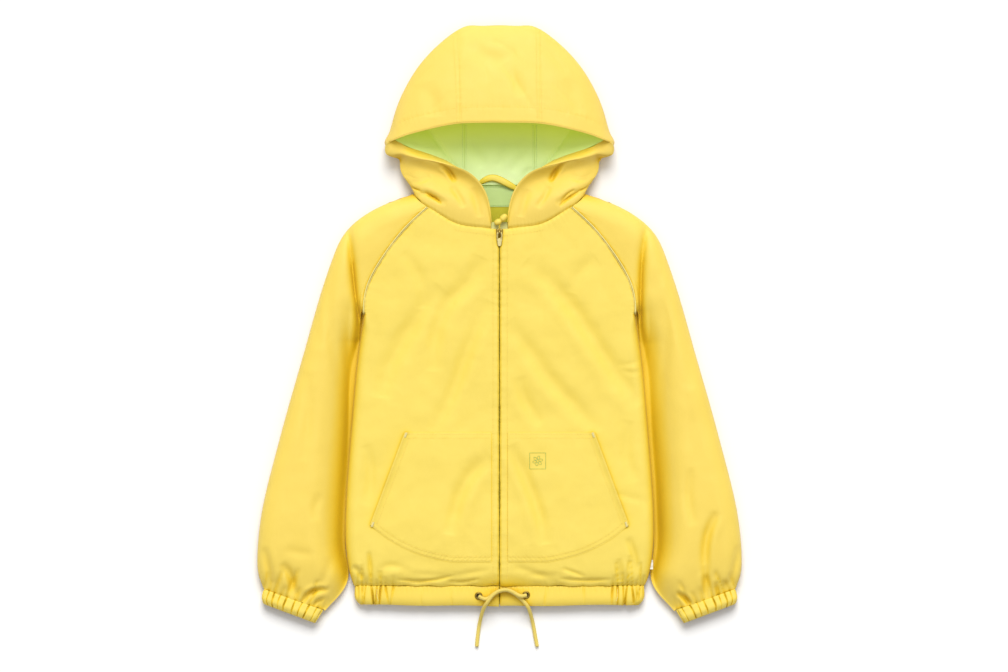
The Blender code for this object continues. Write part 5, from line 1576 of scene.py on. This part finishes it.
def stitch_hood(grid, middle):
    seam = CROWN_SEAM * HOOD_STEPS
    crown_end = int(8.6 * HOOD_STEPS)
    visor = grid[middle - crown_end:middle + crown_end + 1]
    parts = [stitches(on_grid(visor, distance, flip=True)) for distance in (VISOR_HEM, 2.2)]
    top_columns = int(sum(CROWN_FINE[:2]) * 0.98)
    for number in (middle - seam, middle + seam):
        for beside in (-2.9, 2.9):
            rows = grid[number - 4:number + 5, 1:top_columns].transpose(1, 0, 2)
            half = run(rows[0])[4]
            parts.append(stitches(on_grid(rows, half + beside)))
    add_stitches("stitches_hood", parts, THREAD)


def stitch_lining():
    parts = []
    for x in LINING_ROWS:
        parts.append(stitches(on_surface(lining_surface, straight((x, 178), (x, 262))), FINE_STITCH))
    add_stitches("stitches_lining", parts, THREAD_GREEN)
    low_x, high_x, low_y, high_y = NECK_TAPE
    rows = [straight((low_x + 2, y), (high_x - 2, y)) for y in (high_y - 2.0, low_y + 2.0)]
    flat = [on_surface(lambda plan: np.full(len(plan), NECK_INSIDE_Z + 0.9), row) for row in rows]
    add_stitches("stitches_neck_tape", [stitches(path, FINE_STITCH) for path in flat], THREAD_GREEN)


def make_motif():
    """A generic stitched motif on the wearer's left pocket: a daisy in a square of stitches."""
    def height(plan):
        return pocket_surface(plan, 1)

    square = ((-1, 1), (1, 1), (1, -1), (-1, -1), (-1, 1))
    corners = [np.array(MOTIF_CENTRE) + (x * MOTIF_HALF, y * MOTIF_HALF) for x, y in square]
    parts = [stitches(on_surface(height, straight(a, b, 1.0)), SATIN) for a, b in zip(corners, corners[1:])]
    for number in range(MOTIF_PETALS):
        turn = number * 2 * math.pi / MOTIF_PETALS + MOTIF_TURN
        angle = np.linspace(0.0, 2 * np.pi, 14)
        petal = np.stack([3.9 + 2.5 * np.cos(angle), 1.45 * np.sin(angle)], axis=-1)
        turned = np.stack([petal[:, 0] * math.cos(turn) - petal[:, 1] * math.sin(turn),
                           petal[:, 0] * math.sin(turn) + petal[:, 1] * math.cos(turn)], axis=-1)
        parts.append(stitches(on_surface(height, turned + MOTIF_CENTRE), SATIN))
    add_stitches("motif_stitches", parts, THREAD_GREEN)


# ---- materials ----
def add_node(tree, kind, **inputs):
    made = tree.nodes.new(kind)
    for name, value in inputs.items():
        made.inputs[name.replace("_", " ")].default_value = value
    return made


def noise_node(tree, coordinates, scale, detail=2.0):
    made = add_node(tree, "ShaderNodeTexNoise", Scale=scale, Detail=detail)
    tree.links.new(coordinates, made.inputs["Vector"])
    return made.outputs["Fac"]


def spread(tree, value, low, high):
    """Maps a noise value's usual range, 0.3 to 0.7, to low and high."""
    made = add_node(tree, "ShaderNodeMapRange", From_Min=0.3, From_Max=0.7, To_Min=low, To_Max=high)
    tree.links.new(value, made.inputs["Value"])
    return made.outputs["Result"]


def bump(tree, height, distance, strength=1.0, before=None):
    made = add_node(tree, "ShaderNodeBump", Distance=distance, Strength=strength)
    tree.links.new(height, made.inputs["Height"])
    if before is not None:
        tree.links.new(before, made.inputs["Normal"])
    return made.outputs["Normal"]


def weave_height(tree, coordinates, pitch):
    """Threads crossing over and under, from two bands of waves."""
    bands = []
    for direction in ("X", "Y"):
        wave = add_node(tree, "ShaderNodeTexWave", Scale=math.pi * 2 / (20 * pitch * MM), Distortion=1.2)
        wave.inputs["Detail Scale"].default_value = 0.6
        wave.bands_direction = direction
        tree.links.new(coordinates, wave.inputs["Vector"])
        bands.append(wave.outputs["Fac"])
    made = tree.nodes.new("ShaderNodeMath")
    made.operation = "MULTIPLY"
    tree.links.new(bands[0], made.inputs[0])
    tree.links.new(bands[1], made.inputs[1])
    return made.outputs["Value"]


def new_material(name):
    """A material, its nodes, its shader and the coordinates that its patterns follow."""
    material = bpy.data.materials.new(name)
    material.use_nodes = True
    tree = material.node_tree
    coordinates = tree.nodes.new("ShaderNodeTexCoord").outputs["Object"]
    return material, tree, tree.nodes["Principled BSDF"], coordinates


def mixed(tree, first, second, factor=1.0, blend="MIX"):
    """Two colours mixed. Each value is a fixed one or another node's output."""
    mix = tree.nodes.new("ShaderNodeMix")
    mix.data_type = "RGBA"
    mix.blend_type = blend
    for name, value in (("Factor", factor), ("A", first), ("B", second)):
        if isinstance(value, bpy.types.NodeSocket):
            tree.links.new(value, mix.inputs[name])
        else:
            mix.inputs[name].default_value = value
    return mix.outputs["Result"]


def tinted(tree, colour, place, stops):
    """The colour times another that is read from stops at the place given."""
    ramp = tree.nodes.new("ShaderNodeValToRGB")
    elements = ramp.color_ramp.elements
    while len(elements) < len(stops):
        elements.new(0.5)
    for element, (position, tint) in zip(elements, sorted(stops)):
        element.position = position
        element.color = (*tint, 1)
    tree.links.new(place, ramp.inputs["Fac"])
    return mixed(tree, colour, ramp.outputs["Color"], 1.0, "MULTIPLY")


def painted_crease_shade(tree, colour, shade_stops, reach):
    """Painted shade: the colour deepens in creases, where little open air is over a point, for light that has
    met the thin cloth more than once.
    """
    open_air = add_node(tree, "ShaderNodeAmbientOcclusion", Distance=reach)
    open_air.samples = 8
    return tinted(tree, colour, open_air.outputs["AO"], shade_stops)


def painted_shade_by_y(tree, colour, coordinates, stops):
    """Painted shade: the colour times a tint that changes up the jacket; stops are shares of the way between
    two levels of y.
    """
    apart = tree.nodes.new("ShaderNodeSeparateXYZ")
    tree.links.new(coordinates, apart.inputs["Vector"])
    low, high = (level * MM for level in GRADED_Y)
    share = add_node(tree, "ShaderNodeMapRange", From_Min=low, From_Max=high, To_Min=0.0, To_Max=1.0)
    tree.links.new(apart.outputs["Y"], share.inputs["Value"])
    return tinted(tree, colour, share.outputs["Result"], stops)


# Two colours, the weave's pitch in mm, and how crumpled, rough, sheeny and shiny a cloth is.
Finish = namedtuple("Finish", "colour shade pitch crumple roughness sheen specular")


def cloth_material(name, finish, painted_shade=None, reach=0.03, painted_grade=None):
    """Woven cloth: uneven colour, a fine weave, soft crumples and a little sheen; where given, painted shade
    in creases and a painted grade of shade up the jacket.
    """
    material, tree, shader, coordinates = new_material(name)
    blotch = spread(tree, noise_node(tree, coordinates, 24.0, 3.0), 0.0, 0.75)
    colour = mixed(tree, (*finish.colour, 1), (*finish.shade, 1), blotch)
    weave = weave_height(tree, coordinates, finish.pitch)
    tone = add_node(tree, "ShaderNodeMapRange", From_Min=0.0, From_Max=1.0, To_Min=0.93, To_Max=1.03)
    tree.links.new(weave, tone.inputs["Value"])
    colour = mixed(tree, colour, tone.outputs["Result"], 1.0, "MULTIPLY")
    # painted shade: deeper colour in creases, and a painted grade of shade up the jacket
    if painted_shade is not None:
        colour = painted_crease_shade(tree, colour, painted_shade, reach)
    if painted_grade is not None:
        colour = painted_shade_by_y(tree, colour, coordinates, painted_grade)
    tree.links.new(colour, shader.inputs["Base Color"])
    rough = noise_node(tree, coordinates, 60.0, 4.0)
    rough = spread(tree, rough, finish.roughness - 0.06, finish.roughness + 0.06)
    tree.links.new(rough, shader.inputs["Roughness"])
    fold = bump(tree, noise_node(tree, coordinates, 38.0, 5.0), 0.0016, finish.crumple)
    fine = bump(tree, noise_node(tree, coordinates, 420.0, 3.0), 0.0001, 0.6, fold)
    tree.links.new(bump(tree, weave, 0.00009, 0.7, fine), shader.inputs["Normal"])
    shader.inputs["Sheen Weight"].default_value = finish.sheen
    shader.inputs["Sheen Roughness"].default_value = 0.45
    shader.inputs["Specular IOR Level"].default_value = finish.specular
    return material


def metal_material(name, colour, dark, roughness):
    """Worn metal: darker in patches, finely scratched."""
    material, tree, shader, coordinates = new_material(name)
    patches = spread(tree, noise_node(tree, coordinates, 700.0, 3.0), 0.0, 0.8)
    tree.links.new(mixed(tree, (*colour, 1), (*dark, 1), patches), shader.inputs["Base Color"])
    rough = spread(tree, noise_node(tree, coordinates, 1500.0, 4.0), roughness - 0.08, roughness + 0.12)
    tree.links.new(rough, shader.inputs["Roughness"])
    scratches = bump(tree, noise_node(tree, coordinates, 2600.0, 2.0), 0.00003, 0.5)
    tree.links.new(scratches, shader.inputs["Normal"])
    shader.inputs["Metallic"].default_value = 1.0
    return material


# Painted shade in creases: share of open air over a point, and what it multiplies the cloth's colour by.
SHELL_PAINTED_SHADE = [(0.38, (0.72, 0.62, 0.015)), (0.54, (0.83, 0.72, 0.04)), (0.62, (0.90, 0.80, 0.10)),
              (0.71, (0.97, 0.88, 0.26)), (0.825, (1.0, 0.94, 0.46)), (0.90, (1.0, 0.97, 0.64)),
              (0.96, (1.0, 0.99, 0.86)), (1.0, (1.0, 1.0, 1.0))]
GRADED_Y = (185.0, 265.0)
# Painted shade on the lining: its green goes from pale where light falls on it to deep under the visor.
LINING_PAINTED_SHADE = [(0.0, (0.72, 0.85, 0.48)), (0.20, (0.72, 0.87, 0.42)), (0.45, (0.72, 0.90, 0.31)),
                (0.72, (0.82, 0.96, 0.19)), (1.0, (0.91, 0.99, 0.12))]
# Painted light: a glow on the lining, its colour and strength, in place of light let through the thin hood.
PAINTED_GLOW_COLOUR = (0.88, 0.95, 0.06)   # the light that the thin hood lets through to its lining
PAINTED_GLOW_STRENGTH = 0.09

SHELL_FINISH = (0.55, 0.10, 0.55, 0.10, 0.45)
LINING_FINISH = (0.5, 0.14, 0.6, 0.05, 0.35)
THREAD_FINISH = (0.2, 0.0, 0.45, 0.1, 0.5)


# Shell cloth, with painted shade deepening its colour in creases.
def shell_material(name, colour, shade, reach=0.03):
    return cloth_material(name, Finish(colour, shade, *SHELL_FINISH), SHELL_PAINTED_SHADE, reach)


def thread_material(name, colour, shade):
    return cloth_material(name, Finish(colour, shade, *THREAD_FINISH))


# Painted shade: the sleeve and hood copies of the one shell cloth are a little darker, to take down the light
# that falls more fully on them; the hood's creases darken over a longer reach.
SHELL = shell_material("shell_cloth", (0.94, 0.73, 0.125), (0.91, 0.70, 0.11))
SHELL_SLEEVE_SHADED = shell_material("sleeve_cloth", (0.94, 0.70, 0.118), (0.91, 0.67, 0.104))
SHELL_HOOD_SHADED = shell_material("hood_cloth", (0.94, 0.695, 0.13), (0.91, 0.665, 0.115), 0.045)
SHELL_HEM = shell_material("hem_cloth", (0.94, 0.71, 0.105), (0.91, 0.675, 0.09))
LINING = cloth_material("lining_cloth", Finish((0.99, 1.0, 0.98), (0.95, 0.97, 0.92), *LINING_FINISH),
                        painted_grade=LINING_PAINTED_SHADE)
# Painted light: the lining glows by emission.
for socket, value in (("Emission Color", (*PAINTED_GLOW_COLOUR, 1)), ("Emission Strength", PAINTED_GLOW_STRENGTH)):
    LINING.node_tree.nodes["Principled BSDF"].inputs[socket].default_value = value
LINING_PALE = cloth_material("neck_tape_cloth", Finish((0.54, 0.68, 0.27), (0.50, 0.64, 0.23),
                                                       *LINING_FINISH))
TAPE = cloth_material("tape_weave", Finish((0.72, 0.70, 0.26), (0.64, 0.62, 0.20), 0.4, 0.05, 0.7, 0.1, 0.3))
PIPING = cloth_material("piping_cloth", Finish((0.90, 0.80, 0.30), (0.84, 0.74, 0.24),
                                               0.5, 0.04, 0.5, 0.05, 0.45))
FLANGE = cloth_material("piping_flange", Finish((0.90, 0.78, 0.28), (0.84, 0.72, 0.22),
                                                0.2, 0.0, 0.5, 0.1, 0.4))
INLAY = cloth_material("inlay", Finish((0.90, 0.78, 0.34), (0.84, 0.72, 0.28), 0.4, 0.03, 0.45, 0.0, 0.5))
LABEL_WHITE = cloth_material("label_white", Finish((0.86, 0.86, 0.80), (0.80, 0.80, 0.72),
                                                   0.3, 0.03, 0.55, 0.1, 0.4))
# Painted shade: the yellow neck label is given a dark olive colour for the shade inside the neck.
LABEL_PAINTED_SHADE = cloth_material("label_yellow_in_painted_shade", Finish((0.58, 0.51, 0.018), (0.50, 0.44, 0.012),
                                                   0.3, 0.03, 0.5, 0.1, 0.4))
THREAD = thread_material("thread", (0.94, 0.74, 0.20), (0.88, 0.68, 0.16))
THREAD_PALE = thread_material("thread_pale", (0.95, 0.86, 0.42), (0.92, 0.82, 0.37))
THREAD_GREEN = thread_material("thread_green", (0.42, 0.62, 0.20), (0.36, 0.55, 0.16))
CORD = cloth_material("cord_plait", Finish((0.85, 0.67, 0.15), (0.76, 0.58, 0.11),
                                           0.5, 0.05, 0.6, 0.15, 0.35))
# Painted shadow for the eyelets' holes.
PAINTED_EYELET_SHADOW = cloth_material("eyelet_shadow", Finish((0.05, 0.035, 0.01), (0.03, 0.02, 0.005),
                                              0.4, 0.0, 0.8, 0.0, 0.2))
BRASS = metal_material("brass_antique", (0.38, 0.27, 0.06), (0.18, 0.12, 0.03), 0.36)
PULL_BRASS = metal_material("brass_pale", (0.80, 0.68, 0.30), (0.50, 0.40, 0.12), 0.3)
ZIP_TEETH = metal_material("zip_teeth_brass", (0.40, 0.33, 0.06), (0.18, 0.14, 0.02), 0.4)


# ---- camera, light and floor ----
VIEW_WIDTH = 1.26          # metres across the picture
VIEW_MIDDLE = (5.6, -14.4)
SENSOR = 36.0
LENS = 240.0
FILL_STRENGTH = 0.34
# name, direction towards the lamp, angle it fills in degrees, strength
LIGHTS = [("key", (0.03, 1.0, 1.1), 34, 2.65), ("top", (0.0, 0.0, 1.0), 50, 0.60)]
FLOOR_REACH = 6.0
FLOOR_LEVEL = -0.0003


def make_camera():
    """Straight down on the jacket from far off, as in a catalogue view."""
    data = bpy.data.cameras.new("camera")
    data.sensor_width = SENSOR
    data.lens = LENS
    camera = bpy.data.objects.new("camera", data)
    camera.location = (VIEW_MIDDLE[0] * MM, VIEW_MIDDLE[1] * MM, VIEW_WIDTH * LENS / SENSOR)
    bpy.context.scene.collection.objects.link(camera)
    bpy.context.scene.camera = camera


def make_light():
    scene = bpy.context.scene
    scene.view_settings.view_transform = "Standard"
    world = bpy.data.worlds.new("studio")
    world.use_nodes = True
    world.node_tree.nodes["Background"].inputs["Color"].default_value = (1.0, 0.965, 0.91, 1)
    world.node_tree.nodes["Background"].inputs["Strength"].default_value = FILL_STRENGTH
    scene.world = world
    for name, aim, angle, strength in LIGHTS:
        data = bpy.data.lights.new(name, "SUN")
        data.angle = math.radians(angle)
        data.energy = strength
        lamp = bpy.data.objects.new(name, data)
        lamp.rotation_euler = Vector(aim).to_track_quat("Z", "Y").to_euler()
        scene.collection.objects.link(lamp)


def make_floor():
    mesh = bpy.data.meshes.new("floor")
    quarters = ((-1, -1), (1, -1), (1, 1), (-1, 1))
    corners = [(x * FLOOR_REACH, y * FLOOR_REACH, FLOOR_LEVEL) for x, y in quarters]
    mesh.from_pydata(corners, [], [(0, 1, 2, 3)])
    material = bpy.data.materials.new("floor_paper")
    material.use_nodes = True
    shader = material.node_tree.nodes["Principled BSDF"]
    shader.inputs["Base Color"].default_value = (0.93, 0.93, 0.93, 1)
    shader.inputs["Roughness"].default_value = 0.9
    shader.inputs["Specular IOR Level"].default_value = 0.2
    mesh.materials.append(material)
    floor = bpy.data.objects.new("floor", mesh)
    bpy.context.scene.collection.objects.link(floor)


make_camera()
make_drawcords()
make_light()
make_floor()
make_fronts()
make_back()
make_sleeves()
make_cuffs()
make_hem()
HOOD, HOOD_MIDDLE = dressed_hood()
make_hood(HOOD, HOOD_MIDDLE)
make_lining()
make_facing(HOOD, HOOD_MIDDLE)
make_neck_inside()
make_pockets()
make_piping()
make_side_label()
make_zip()
make_slider()
make_pull()
make_chin_guard()
make_eyelets()
stitch_fronts()
stitch_pockets()
stitch_hem()
stitch_hood(HOOD, HOOD_MIDDLE)
stitch_lining()
make_motif()
